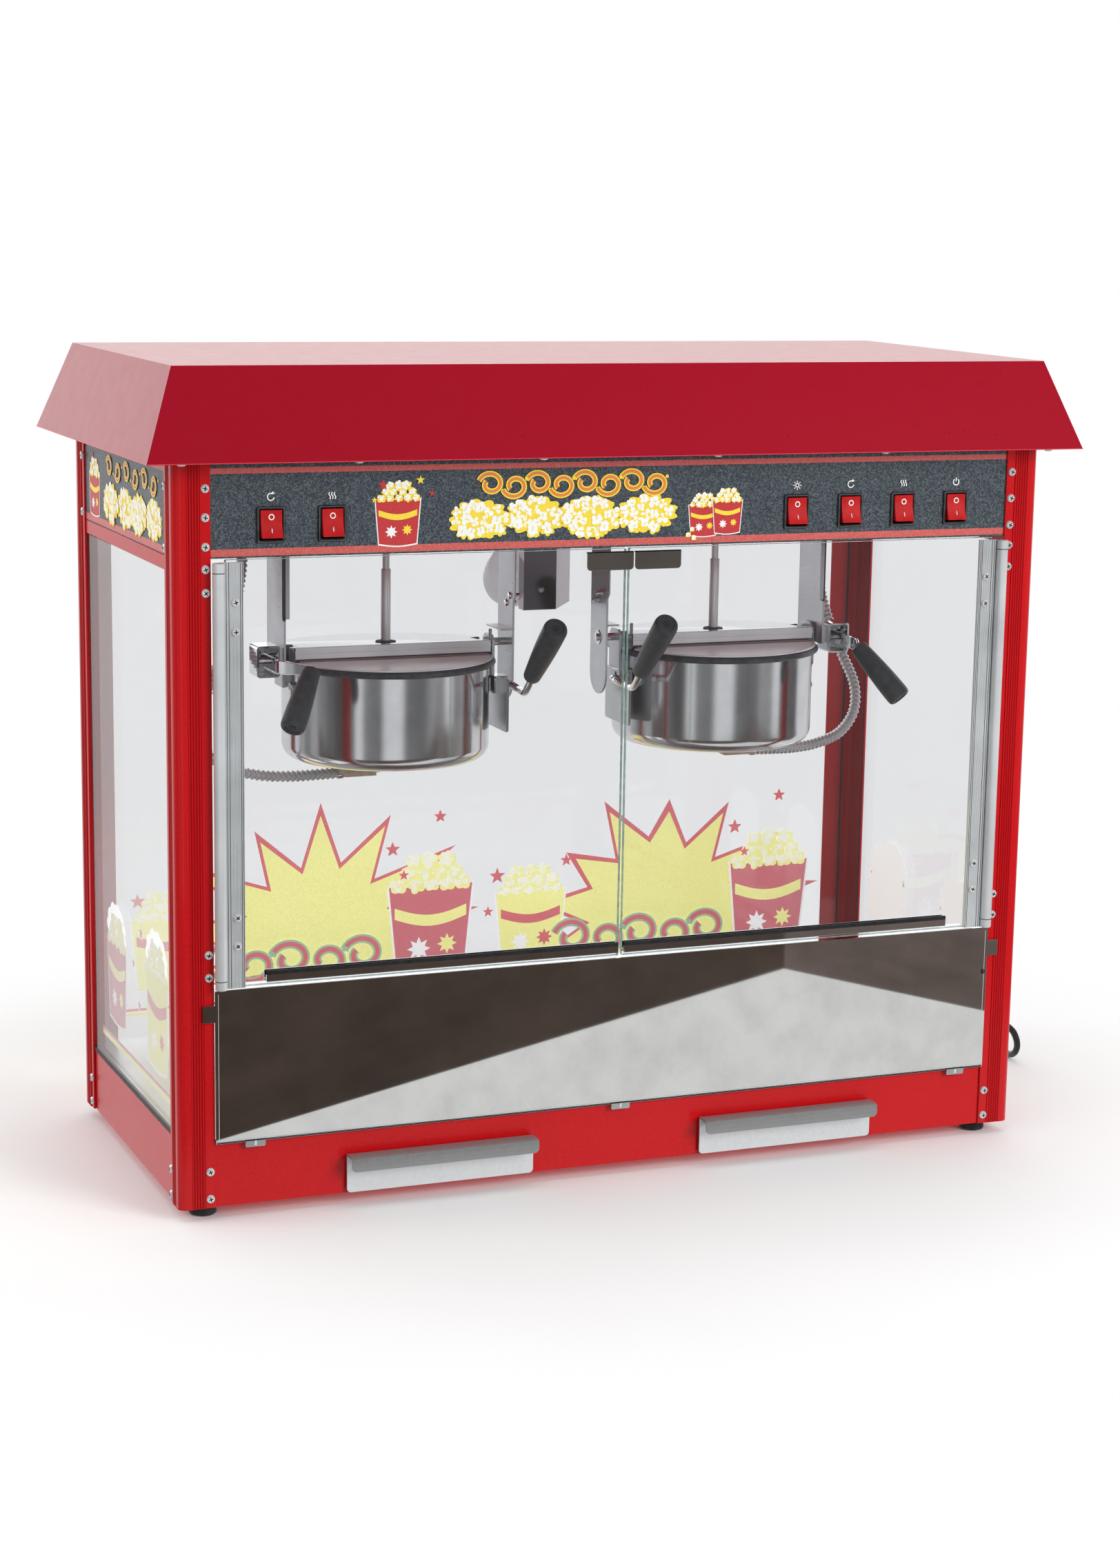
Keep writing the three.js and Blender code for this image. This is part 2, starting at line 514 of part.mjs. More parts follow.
// Flat lever pivoted in the channel, with a grip that hangs in front of the pot.
function latchLever() {
  const { thick, tall, pinHalf, pivot, knee, tip } = LEVER;
  const strap = (a, b) => {
    const dx = b[0] - a[0];
    const dy = b[1] - a[1];
    const length = Math.hypot(dx, dy) + 3;
    return new THREE.BoxGeometry(thick, length, tall)
      .rotateZ(Math.atan2(-dx, dy))
      .translate((a[0] + b[0]) / 2, (a[1] + b[1]) / 2, (a[2] + b[2]) / 2);
  };
  const [px, py, pz] = pivot;
  const pin = cylinder(LEVER.pin, [px - pinHalf, py, pz], [px + pinHalf, py, pz], 16);
  const grip = cylinder(LEVER.grip, tip, LEVER.gripEnd, 24);
  return join(strap([px, py + 5, pz], knee), strap(knee, tip), pin, grip);
}

// Flexible conduit from the terminal block under the pot up to the header.
function conduit() {
  return hose(CONDUIT.route, CONDUIT.r, CONDUIT.steps);
}

function kettles() {
  const pieces = [
    ['pot', pot(), STEEL, 0.15, 1], ['lid_rear', lidRear(), STEEL, 0.15, 1],
    ['lid_flap', lidFlap(), STEEL, 0.12, 1], ['agitator', agitator(), STEEL, 0.3, 1],
    ['drive_sleeve', driveSleeve(), STEEL, 0.2, 1], ['drive_rod', driveRod(), STEEL, 0.2, 1],
    ['crank_handle', crank(), BLACK, 0.5, 0], ['hanger_outer', hangerOuter(), STEEL, 0.3, 1],
    ['hanger_inner', hangerInner(), STEEL, 0.3, 1], ['latch_lever', latchLever(), BLACK, 0.5, 0],
    ['conduit', conduit(), STEEL, 0.35, 1],
  ];
  for (const [side, mx] of [['left', 1], ['right', -1]]) {
    for (const [name, geometry, ...look] of pieces) {
      const mesh = add(`${name}_${side}`, mirrored(geometry, mx), ...look);
      mesh.position.set(-mx * KETTLE.x, 0, KETTLE.axisZ);
    }
  }
}

// ---- mains lead ---------------------------------------------------------------------------------
function mainsLead() {
  const { r, z, coilX, coilY, turnR, layers, rows, exitX, exitY, exitZ } = CORD;
  const nut = cylinder(11, [SIDE_OUT + GAP, exitY, exitZ], [SIDE_OUT + 11, exitY, exitZ], 6);
  const relief = new THREE.CylinderGeometry(4.6, 7.5, exitX - GAP - SIDE_OUT - 10, 16)
    .rotateZ(-Math.PI / 2)
    .translate((SIDE_OUT + 10 + exitX - GAP) / 2, exitY, exitZ);
  const tail = cylinder(5.4, [SIDE_OUT - 5, exitY, exitZ], [SIDE_OUT + 1, exitY, exitZ], 16);
  add('cord_gland', join(nut, relief, tail), BLACK, 0.6);

  const frontY = coilY - turnR - r * (rows - 1);
  const route = [[exitX, exitY, exitZ], [487, exitY, 57.5], [510, exitY, 56], [527, exitY, 53],
    [541, 20.5, 47.5], [550.5, 21.5, 40], [556.5, 23.5, 30.5], [560.5, 27.5, 21], [562.5, 34, 12.5],
    [564, 44, 6.5], [566, 56, 3.9], [570, 75, z], [577, 101, z], [584, 130, z], [588, 160, z],
    [582, 190, z], [563, 215, z], [532, 229, z], [495, 231, z], [460, 230, z], [425, frontY, z],
    [coilX + 26.5, frontY, z]];
  add('power_cord', hose(route, r, 34), BLACK, 0.55);

  const half = rows * r;
  const low = z - r;
  const high = low + layers * 2 * r;
  const section = [[turnR - half, low], [turnR + half, low], [turnR + half, high], [turnR - half, high],
    [turnR - half, low]];
  add('power_cord_coil', lathe(section, 36, coilX, coilY), BLACK, 0.55);

  const rearY = coilY + turnR + r * (rows - 1);
  const plugZ = z + 2 * r;
  const cable = new THREE.CylinderGeometry(7, 4.6, 30, 16).rotateZ(-Math.PI / 2)
    .translate(coilX + 27 + 15, rearY, plugZ);
  const body = box(coilX + 55, coilX + 92, rearY - 11, rearY + 11, plugZ - 10, plugZ + 10);
  const prongs = [-1, 1].map((s) => box(coilX + 90, coilX + 109, rearY + s * 6 - 2.2, rearY + s * 6 + 2.2,
    plugZ - 0.8, plugZ + 0.8));
  add('power_plug', join(cable, body, ...prongs), BLACK, 0.5);
}

posts();
base();
deck();
sill();
drawers();
header();
roof();
rockers();
motors();
lamp();
glazing();
doors();
kettles();
mainsLead();

export default cabinet;
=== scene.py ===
"""Looks for the countertop popcorn cabinet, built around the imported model.

Shapes are written in millimetres in the model's frame: X to the operator's right, -Y towards the
operator, +Z up. Kettle pieces are written about their own tilt axis, with +X towards the middle.
"""
import json
import math
import random

import bmesh
import bpy
from mathutils import Matrix, Vector


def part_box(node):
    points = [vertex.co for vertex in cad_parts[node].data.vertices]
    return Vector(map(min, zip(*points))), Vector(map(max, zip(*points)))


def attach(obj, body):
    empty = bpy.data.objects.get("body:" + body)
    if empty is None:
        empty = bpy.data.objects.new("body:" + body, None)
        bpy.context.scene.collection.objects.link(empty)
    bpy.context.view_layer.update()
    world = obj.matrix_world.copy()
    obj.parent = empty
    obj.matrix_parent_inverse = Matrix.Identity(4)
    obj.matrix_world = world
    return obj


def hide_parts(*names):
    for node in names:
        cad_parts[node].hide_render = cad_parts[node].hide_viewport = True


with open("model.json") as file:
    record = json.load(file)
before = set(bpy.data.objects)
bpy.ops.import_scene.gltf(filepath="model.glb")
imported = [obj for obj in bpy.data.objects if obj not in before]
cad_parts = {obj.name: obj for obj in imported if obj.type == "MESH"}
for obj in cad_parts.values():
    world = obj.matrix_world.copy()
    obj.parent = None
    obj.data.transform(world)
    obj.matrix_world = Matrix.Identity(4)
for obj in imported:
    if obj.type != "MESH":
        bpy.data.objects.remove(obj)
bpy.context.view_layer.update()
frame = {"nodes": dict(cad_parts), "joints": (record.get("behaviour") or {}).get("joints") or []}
MM = 0.001
TAU = 2 * math.pi
SIDES = (("left", -1), ("right", 1))
RIGHT, LEFT, UP, DOWN = (1, 0, 0), (-1, 0, 0), (0, 0, 1), (0, 0, -1)
FRONT, BACK = (0, -1, 0), (0, 1, 0)
WHITE = (1.0, 1.0, 1.0, 1.0)
scene = bpy.context.scene
scene.view_settings.view_transform = "Standard"


def cad(node):
    """A node's box in millimetres: x0, x1, y0, y1, z0, z1."""
    low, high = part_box(node)
    return [v / MM for pair in zip(low, high) for v in pair]


def joint(name):
    """A joint of the record, by its name."""
    return next(j for j in frame["joints"] if j["name"] == name)


# ---- camera ------------------------------------------------------------------------------------
def make_camera():
    """The photograph's camera, found by fitting the cabinet's straight edges."""
    yaw, pitch, roll = 0.3931, 0.2092, 0.0182
    ahead = Vector((math.sin(yaw) * math.cos(pitch), math.cos(yaw) * math.cos(pitch), -math.sin(pitch)))
    right = Vector((math.cos(yaw), -math.sin(yaw), 0))
    up = right.cross(ahead)
    tilted_right = math.cos(roll) * right + math.sin(roll) * up
    tilted_up = -math.sin(roll) * right + math.cos(roll) * up
    data = bpy.data.cameras.new("camera")
    data.sensor_width = 36
    data.lens = 70.985
    data.shift_x = -0.0221
    data.shift_y = 0.0358
    data.clip_start = 0.05
    data.clip_end = 60
    camera = bpy.data.objects.new("camera", data)
    scene.collection.objects.link(camera)
    turn = Matrix((tilted_right, tilted_up, -ahead)).transposed()
    camera.matrix_world = Matrix.Translation((-1.1078, -2.7878, 0.9284)) @ turn.to_4x4()
    scene.camera = camera


# ---- node graphs -------------------------------------------------------------------------------
class Nodes:
    """Short calls for the usual nodes of one node tree."""

    def __init__(self, tree):
        tree.nodes.clear()
        self.tree = tree

    def link(self, source, target):
        self.tree.links.new(source, target)

    def node(self, kind, inputs=(), **settings):
        n = self.tree.nodes.new("ShaderNode" + kind)
        for key, value in settings.items():
            setattr(n, key, value)
        for key, value in dict(inputs).items():
            if isinstance(value, bpy.types.NodeSocket):
                self.link(value, n.inputs[key])
            else:
                n.inputs[key].default_value = value
        return n

    def math(self, operation, a, b=0.0):
        return self.node("Math", {0: a, 1: b}, operation=operation).outputs[0]

    def span(self, value, start, end, low=0.0, high=1.0, **settings):
        """Stretches start..end to low..high."""
        inputs = {"Value": value, "From Min": start, "From Max": end, "To Min": low, "To Max": high}
        return self.node("MapRange", inputs, **settings).outputs[0]

    def ramp(self, factor, stops, interpolation="LINEAR"):
        n = self.node("ValToRGB", {"Fac": factor})
        n.color_ramp.interpolation = interpolation
        ramp = n.color_ramp.elements
        while len(ramp) < len(stops):
            ramp.new(0.5)
        for element, (at, colour) in zip(ramp, stops):
            element.position = at
            element.color = (*colour, 1) if isinstance(colour, tuple) else (colour, colour, colour, 1)
        return n.outputs[0]

    def mix(self, factor, a, b):
        colours = {at: value if isinstance(value, bpy.types.NodeSocket) else (*value, 1)
                   for at, value in ((6, a), (7, b))}
        return self.node("Mix", {0: factor, **colours}, data_type="RGBA").outputs[2]

    def blend(self, factor, a, b):
        """Mixes two shaders."""
        return self.node("MixShader", {0: factor, 1: a, 2: b}).outputs[0]


class Graph(Nodes):
    """A material's node tree around one Principled shader."""

    def __init__(self, name, **values):
        self.material = bpy.data.materials.new(name)
        self.material.use_nodes = True
        super().__init__(self.material.node_tree)
        self.out = self.node("OutputMaterial")
        self.shader = self.node("BsdfPrincipled")
        self.show(self.shader.outputs[0])
        self.place = self.node("TexCoord").outputs["Object"]
        self.height = None
        for key, value in values.items():
            self.set(key, value)

    def show(self, shader):
        self.link(shader, self.out.inputs[0])

    def set(self, key, value):
        """Sets a constant on the shader, such as roughness=0.4 or coat_weight=0.3."""
        socket = self.shader.inputs[key.replace("_", " ").title().replace("Ior", "IOR")]
        socket.default_value = (*value, 1) if isinstance(value, tuple) else value

    def stretched(self, x, y, z):
        return self.node("Mapping", {"Vector": self.place, "Scale": (x, y, z)}).outputs[0]

    def noise(self, scale, detail=3, roughness=0.5, at=None):
        return self.node("TexNoise", {"Vector": at or self.place, "Scale": scale, "Detail": detail,
                                      "Roughness": roughness}).outputs["Fac"]

    def colour(self, source):
        self.link(source, self.shader.inputs["Base Color"])

    def rough(self, factor, low, high):
        self.link(self.span(factor, 0.0, 1.0, low, high), self.shader.inputs["Roughness"])

    def bump(self, height, distance, strength=1.0):
        inputs = {"Height": height, "Distance": distance * MM, "Strength": strength}
        if self.height is not None:
            inputs["Normal"] = self.height
        self.height = self.node("Bump", inputs).outputs[0]
        self.link(self.height, self.shader.inputs["Normal"])


def paint(name, dark, light, roughness, grain=900, bump=0.03, shine=0.3):
    """Powder coat: slight cloudiness, fine orange peel and a few dust nibs."""
    g = Graph(name, specular_ior_level=shine)
    speck = g.noise(grain, 2, 0.6)
    flecks = g.ramp(speck, [(0.38, dark), (0.62, light)])
    cloud = g.ramp(g.noise(9, 3), [(0.35, 0.0), (0.65, 1.0)])
    g.colour(g.mix(g.math("MULTIPLY", cloud, 0.25), flecks, light))
    g.rough(g.noise(60, 3), roughness - 0.03, roughness + 0.05)
    g.bump(speck, bump, 0.6)
    return g.material


def polished(name, tint=(0.74, 0.745, 0.755), roughness=0.06, grain=(1, 1, 60), marks=0.5):
    """Polished stainless steel: faint lines of the polishing wheel, smudges and fine scratches."""
    g = Graph(name, metallic=1.0)
    smudge = g.noise(22, 5, 0.6)
    darker = tuple(c * 0.86 for c in tint)
    g.colour(g.ramp(smudge, [(0.3, darker), (0.6, tint)]))
    lines = g.noise(40, 4, 0.7, g.stretched(*grain))
    g.rough(g.math("MULTIPLY", g.math("ADD", smudge, lines), 0.5), roughness, roughness + 0.12 * marks)
    g.bump(lines, 0.012, 0.25 * marks)
    return g.material


def brushed(name, tint, roughness=0.3, along=(2, 90, 90), metallic=1.0):
    """Steel or aluminium with fine lines; along is the stretch of the lines in X, Y and Z."""
    g = Graph(name, metallic=metallic)
    lines = g.noise(12, 5, 0.75, g.stretched(*along))
    cloud = g.noise(18, 3)
    low = tuple(c * 0.8 for c in tint)
    g.colour(g.mix(g.ramp(cloud, [(0.3, 0.0), (0.7, 1.0)]), low, tint))
    g.rough(lines, roughness - 0.08, roughness + 0.12)
    g.bump(lines, 0.02, 0.3)
    return g.material


def galvanised(name, tint, roughness, metallic):
    """Zinc-coated sheet, with its flat crystals."""
    g = Graph(name, metallic=metallic)
    crystal = g.node("TexVoronoi", {"Vector": g.place, "Scale": 260}).outputs["Color"]
    g.colour(g.ramp(crystal, [(0.1, tuple(c * 0.9 for c in tint)), (0.9, tint)]))
    g.rough(crystal, roughness - 0.08, roughness + 0.1)
    g.bump(g.noise(260, 3), 0.02, 0.3)
    return g.material


def plastic(name, dark, light, roughness, grain=700, bump=0.05, coat=0.0, **more):
    """Moulded plastic or rubber: slightly uneven colour and a fine grain."""
    g = Graph(name, coat_weight=coat, **more)
    g.colour(g.ramp(g.noise(160, 4), [(0.35, dark), (0.7, light)]))
    g.rough(g.noise(90, 3), roughness - 0.05, roughness + 0.08)
    g.bump(g.noise(grain, 2), bump, 0.5)
    return g.material


def ink(name, colour, painted_glow=0.0, fade=0.9, roughness=0.45):
    """Printed film: the colour breaks up into a fine grain, and glows evenly with painted light (emission)
    that stands in for light coming through it."""
    g = Graph(name, emission_strength=painted_glow)
    deep = tuple(c * fade for c in colour)
    pale = tuple(min(1.0, c * 1.12 + 0.01) for c in colour)
    print_colour = g.ramp(g.noise(1500, 2, 0.7), [(0.35, deep), (0.62, pale)])
    g.colour(print_colour)
    g.link(print_colour, g.shader.inputs["Emission Color"])
    g.rough(g.noise(200, 2), roughness - 0.05, roughness + 0.08)
    return g.material


def slate():
    """Fascia film: dark slate with a fine light speckle, and a red line above and below."""
    g = Graph("fascia_film")
    speck = g.noise(850, 2, 0.6)
    field = g.ramp(speck, [(0.38, (0.026, 0.034, 0.042)), (0.5, (0.052, 0.066, 0.079)),
                           (0.64, (0.12, 0.145, 0.165))])
    bottom, high = 0.6, 0.09
    z = g.node("SeparateXYZ", {0: g.place}).outputs[2]
    red_lines = ((0.6045, 0.6106), (0.6764, 0.6815))
    edges = [(at, on) for line in red_lines for at, on in zip(line, (1.0, 0.0))]
    line = g.ramp(g.span(z, bottom, bottom + high),
                  [(0.0, 0.0)] + [((at - bottom) / high, on) for at, on in edges], "CONSTANT")
    red = g.ramp(speck, [(0.3, (0.50, 0.075, 0.07)), (0.7, (0.66, 0.16, 0.14))])
    g.colour(g.mix(line, field, red))
    g.rough(g.noise(400, 2), 0.34, 0.5)
    g.bump(speck, 0.015, 0.4)
    return g.material


def pane(name, tint, haze, milk=0.0):
    """Clear sheet: it lets light straight through and mirrors more towards grazing angles."""
    g = Graph(name)
    g.tree.nodes.remove(g.shader)
    clear = g.node("BsdfTransparent", {"Color": (*tint, 1)})
    wipe = g.noise(9, 4, 0.6)
    gloss = g.node("BsdfGlossy", {"Color": WHITE, "Roughness": g.math("MULTIPLY", wipe, 0.05)})
    slant = g.node("LayerWeight", {"Blend": 0.5}).outputs["Facing"]
    edge = g.math("ADD", g.math("MULTIPLY", g.math("POWER", slant, 5.0), 0.9), 0.025)
    dust = g.node("BsdfDiffuse", {"Color": (0.92, 0.93, 0.94, 1.0)})
    spots = g.ramp(wipe, [(0.25, 0.5), (0.75, 1.0)])
    amount = g.math("ADD", g.math("MULTIPLY", spots, haze), milk)
    g.show(g.blend(amount, g.blend(edge, clear.outputs[0], gloss.outputs[0]), dust.outputs[0]))
    return g.material


def make_finishes():
    """Every material of the object, by the short name that the pieces use."""
    f = {}
    f["red"] = paint("red_enamel", (0.47, 0.004, 0.007), (0.56, 0.006, 0.009), 0.24)
    # Darker, rougher red laid in the grooves of the posts: painted shade.
    f["groove_shade"] = paint("enamel_painted_rib_shade", (0.24, 0.003, 0.005), (0.31, 0.005, 0.008), 0.5, shine=0.1)
    f["roof"] = paint("roof_enamel", (0.29, 0.0006, 0.011), (0.33, 0.001, 0.014), 0.28, 1300, 0.02, 0.3)
    # Lighter, pinker red for the roof's bottom edge: painted highlight.
    f["hem"] = paint("enamel_painted_edge_highlight", (0.50, 0.03, 0.05), (0.60, 0.05, 0.07), 0.3)
    f["fascia"] = slate()
    f["mirror"] = polished("mirror_steel", (0.80, 0.80, 0.80), 0.015, (60, 1, 1), 0.18)
    f["pot"] = polished("polished_steel", (0.87, 0.875, 0.89), 0.10, (1, 1, 60), 0.7)
    # Near-black for the rolled steel rim of the kettles: painted dark reflection.
    f["rim"] = plastic("rim_painted_dark_reflection", (0.018, 0.02, 0.024), (0.045, 0.05, 0.056), 0.3, 500, 0.03)
    f["lid"] = polished("lid_steel", (0.31, 0.315, 0.335), 0.10, (60, 1, 1), 0.6)
    # Steel tinted dark plum: painted reflection of the surroundings.
    f["shield"] = polished("shield_steel_painted_plum_reflection", (0.42, 0.36, 0.40), 0.07, (60, 1, 1), 0.6)
    f["chrome"] = polished("chrome", (0.88, 0.89, 0.91), 0.03, (1, 1, 1), 0.3)
    f["screw"] = brushed("screw_steel", (0.86, 0.87, 0.88), 0.22, (9, 9, 9), 0.45)
    f["brushed"] = brushed("brushed_steel", (0.62, 0.63, 0.64))
    f["zinc"] = brushed("zinc_plate", (0.72, 0.745, 0.775), 0.28, (3, 3, 60), 0.6)
    f["hose"] = brushed("hose_steel", (0.74, 0.75, 0.77), 0.2, (9, 9, 9), 0.6)
    f["rod"] = brushed("rod_steel", (0.86, 0.87, 0.88), 0.2, (9, 9, 1), 0.35)
    f["drawer"] = galvanised("galvanised_sheet", (0.80, 0.82, 0.84), 0.38, 0.5)
    f["lip"] = galvanised("galvanised_lip", (0.33, 0.325, 0.33), 0.42, 0.5)
    f["alu"] = brushed("aluminium", (0.76, 0.785, 0.80), 0.3, (60, 60, 1), 0.35)
    f["catch"] = brushed("catch_steel", (0.36, 0.32, 0.29), 0.38, (60, 60, 60))
    f["grip"] = plastic("grip_plastic", (0.018, 0.022, 0.026), (0.035, 0.04, 0.046), 0.4, 900, 0.12)
    f["black"] = plastic("black_plastic", (0.014, 0.014, 0.016), (0.03, 0.03, 0.033), 0.35)
    f["bezel"] = plastic("bezel_edge", (0.10, 0.10, 0.11), (0.15, 0.15, 0.16), 0.4)
    f["rubber"] = plastic("black_rubber", (0.012, 0.012, 0.012), (0.03, 0.03, 0.03), 0.7, 500, 0.1)
    f["pvc"] = plastic("cable_sheath", (0.012, 0.012, 0.013), (0.024, 0.024, 0.026), 0.42, 500, 0.05)
    f["rocker"] = plastic("red_plastic", (0.44, 0.002, 0.004), (0.56, 0.004, 0.006), 0.3, 300, 0.01,
                          0.4, coat_roughness=0.08)
    f["white"] = ink("white_print", (0.86, 0.86, 0.84))
    f["ceramic"] = plastic("terminal_ceramic", (0.50, 0.38, 0.27), (0.62, 0.50, 0.38), 0.6)
    f["gasket"] = plastic("gasket", (0.03, 0.03, 0.035), (0.06, 0.06, 0.065), 0.6)
    f["motor"] = brushed("motor_steel", (0.42, 0.43, 0.45), 0.4, (40, 40, 40))
    f["glass"] = pane("clear_glass", (0.955, 0.957, 0.963), 0.012)
    f["glass_edge"] = plastic("glass_edge", (0.30, 0.47, 0.42), (0.58, 0.74, 0.69), 0.15, 300, 0.02, 0.5)
    f["bulb"] = pane("lamp_glass", (0.93, 0.94, 0.95), 0.1, 0.3)
    f["seam"] = plastic("dark_seam", (0.01, 0.01, 0.012), (0.02, 0.02, 0.022), 0.6)
    f["yellow"] = ink("yellow_print", (0.90, 0.68, 0.05))
    f["orange"] = ink("orange_print", (0.72, 0.22, 0.06))
    f["corn"] = ink("popped_print", (0.88, 0.89, 0.83))
    f["shade"] = ink("popped_shade_print", (0.72, 0.66, 0.36))
    f["crimson"] = ink("crimson_print", (0.52, 0.035, 0.04))
    # Prints on the glass and their white backing glow with painted light (emission) for the backlight
    # through the film.
    for key, colour in (("yellow", (0.93, 0.88, 0.33)), ("red", (0.66, 0.15, 0.17)),
                        ("tub", (0.62, 0.16, 0.19)), ("corn", (0.94, 0.93, 0.72)),
                        ("white", (0.95, 0.95, 0.93)), ("green", (0.36, 0.50, 0.36))):
        f[f"pale_{key}"] = ink(f"pale_{key}_print", colour, 0.55)
        f[f"dull_{key}"] = ink(f"dull_{key}_print", tuple(c * 0.8 + 0.04 for c in colour), 0.12)
    f["dull_backing"] = ink("print_backing", (0.95, 0.95, 0.96), 0.48)
    return f


# ---- shapes ------------------------------------------------------------------------------------
def new_object(name, points, faces, *materials):
    """An object of its own mesh, in metres, in the scene."""
    mesh = bpy.data.meshes.new(name)
    mesh.from_pydata(points, [], faces)
    for material in materials:
        mesh.materials.append(material)
    piece = bpy.data.objects.new(name, mesh)
    scene.collection.objects.link(piece)
    return piece


def bevel(piece, width, segments, angle):
    """Softens the edges that turn by more than the angle."""
    edge = piece.modifiers.new("edges", "BEVEL")
    edge.width = width * MM
    edge.segments = segments
    edge.limit_method = "ANGLE"
    edge.angle_limit = math.radians(angle)


class Shape:
    """Faces gathered from simple solids, in millimetres, with a finish number for each face."""

    def __init__(self, place=lambda p: p):
        self.place = place
        self.points = []
        self.faces = []
        self.finish = []

    def add(self, points, faces, finish=0):
        start = len(self.points)
        self.points += [self.place(tuple(p)) for p in points]
        self.faces += [tuple(start + i for i in face) for face in faces]
        self.finish += [finish] * len(faces)

    def loft(self, rings, finish=0, closed_ends=True, wrap=False):
        """Skin over rings that all have the same number of points."""
        n = len(rings[0])
        points = [p for ring in rings for p in ring]
        faces = []
        for i in range(len(rings) if wrap else len(rings) - 1):
            a, b = i * n, (i + 1) % len(rings) * n
            faces += [(a + k, a + (k + 1) % n, b + (k + 1) % n, b + k) for k in range(n)]
        if closed_ends and not wrap:
            faces += [tuple(range(n)), tuple(range((len(rings) - 1) * n, len(rings) * n))]
        self.add(points, faces, finish)

    def extrude(self, outline, axis, start, end, finish=0):
        """Outline in the two other axes, in X, Y, Z order."""
        where = "xyz".index(axis)
        self.loft([[(*p[:where], h, *p[where:]) for p in outline] for h in (start, end)], finish)

    def box(self, x0, x1, y0, y1, z0, z1, finish=0):
        """The two ends of a side may come in either order."""
        (x0, x1), (y0, y1) = sorted((x0, x1)), sorted((y0, y1))
        self.extrude([(x0, y0), (x1, y0), (x1, y1), (x0, y1)], "z", z0, z1, finish)

    def lathe(self, profile, at=(0, 0, 0), axis=UP, sides=48, finish=0, wrap=False):
        """Profile of (radius, height) about an axis through at."""
        turn = Vector(axis).to_track_quat("Z", "Y").to_matrix()
        base = Vector(at)
        circle = [(math.cos(TAU * k / sides), math.sin(TAU * k / sides)) for k in range(sides)]
        rings = [[tuple(base + turn @ Vector((max(r, 0.001) * x, max(r, 0.001) * y, h)))
                  for x, y in circle] for r, h in profile]
        self.loft(rings, finish, wrap=wrap)

    def tube(self, path, radius, sides=16, finish=0):
        """Round bar along a path; radius is a number or one number per point."""
        points = [Vector(p) for p in path]
        radii = radius if isinstance(radius, list) else [radius] * len(points)
        steps = [points[min(i + 1, len(points) - 1)] - points[max(i - 1, 0)] for i in range(len(points))]
        side = steps[0].orthogonal().normalized()
        rings = []
        for p, along, r in zip(points, steps, radii):
            along = along.normalized()
            side = (side - along * side.dot(along)).normalized()
            other = along.cross(side)
            angles = [TAU * k / sides for k in range(sides)]
            rings.append([tuple(p + r * (math.cos(a) * side + math.sin(a) * other)) for a in angles])
        self.loft(rings, finish)

    def make(self, name, finishes, body, *nodes, smooth=32, edge=0.0):
        """The piece on its body, standing in for the nodes, with its edges rounded by edge mm."""
        points = [tuple(c * MM for c in p) for p in self.points]
        piece = new_object(name, points, self.faces, *(FINISH[key] for key in finishes))
        mesh = piece.data
        mesh.polygons.foreach_set("material_index", self.finish)
        work = bmesh.new()
        work.from_mesh(mesh)
        bmesh.ops.recalc_face_normals(work, faces=work.faces)
        work.to_mesh(mesh)
        work.free()
        mesh.shade_smooth()
        mesh.set_sharp_from_angle(angle=math.radians(smooth))
        if edge:
            bevel(piece, edge, 2, 40)
        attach(piece, body)
        if nodes:
            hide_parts(*nodes)
        return piece


def arc(cx, cy, r, start, end, n):
    """Points on a circle, angles in degrees."""
    steps = [math.radians(start + (end - start) * i / n) for i in range(n + 1)]
    return [(cx + r * math.cos(a), cy + r * math.sin(a)) for a in steps]


def rounded(x0, x1, y0, y1, r, n=5, corners=(1, 1, 1, 1)):
    """Rectangle with round corners, from lower left, anticlockwise; 0 leaves a corner square."""
    out = []
    spots = ((x0 + r, y0 + r, 180, x0, y0), (x1 - r, y0 + r, 270, x1, y0), (x1 - r, y1 - r, 0, x1, y1),
             (x0 + r, y1 - r, 90, x0, y1))
    for (cx, cy, a, px, py), on in zip(spots, corners):
        out += arc(cx, cy, r, a, a + 90, n) if on else [(px, py)]
    return out


def smooth_path(points, steps):
    """Centripetal Catmull-Rom curve through the points."""
    points = [Vector(p) for p in points]
    ends = [2 * points[0] - points[1]] + points + [2 * points[-1] - points[-2]]
    out = []
    for p0, p1, p2, p3 in zip(ends, ends[1:], ends[2:], ends[3:]):
        d0, d1, d2 = [max((b - a).length ** 0.5, 1e-4) for a, b in ((p0, p1), (p1, p2), (p2, p3))]
        t1 = ((p1 - p0) / d0 - (p2 - p0) / (d0 + d1) + (p2 - p1) / d1) * d1
        t2 = ((p2 - p1) / d1 - (p3 - p1) / (d1 + d2) + (p3 - p2) / d2) * d1
        square, cube = 3 * (p2 - p1) - 2 * t1 - t2, 2 * (p1 - p2) + t1 + t2
        out += [p1 + t1 * t + square * t * t + cube * t ** 3 for t in (k / steps for k in range(steps))]
    return out + [points[-1]]


def even_path(points, pitch):
    """The same line, with points a fixed distance apart."""
    out = [points[0]]
    left = pitch
    for a, b in zip(points, points[1:]):
        run = (b - a).length
        while left <= run:
            out.append(a.lerp(b, left / run))
            left += pitch
        left -= run
    return out


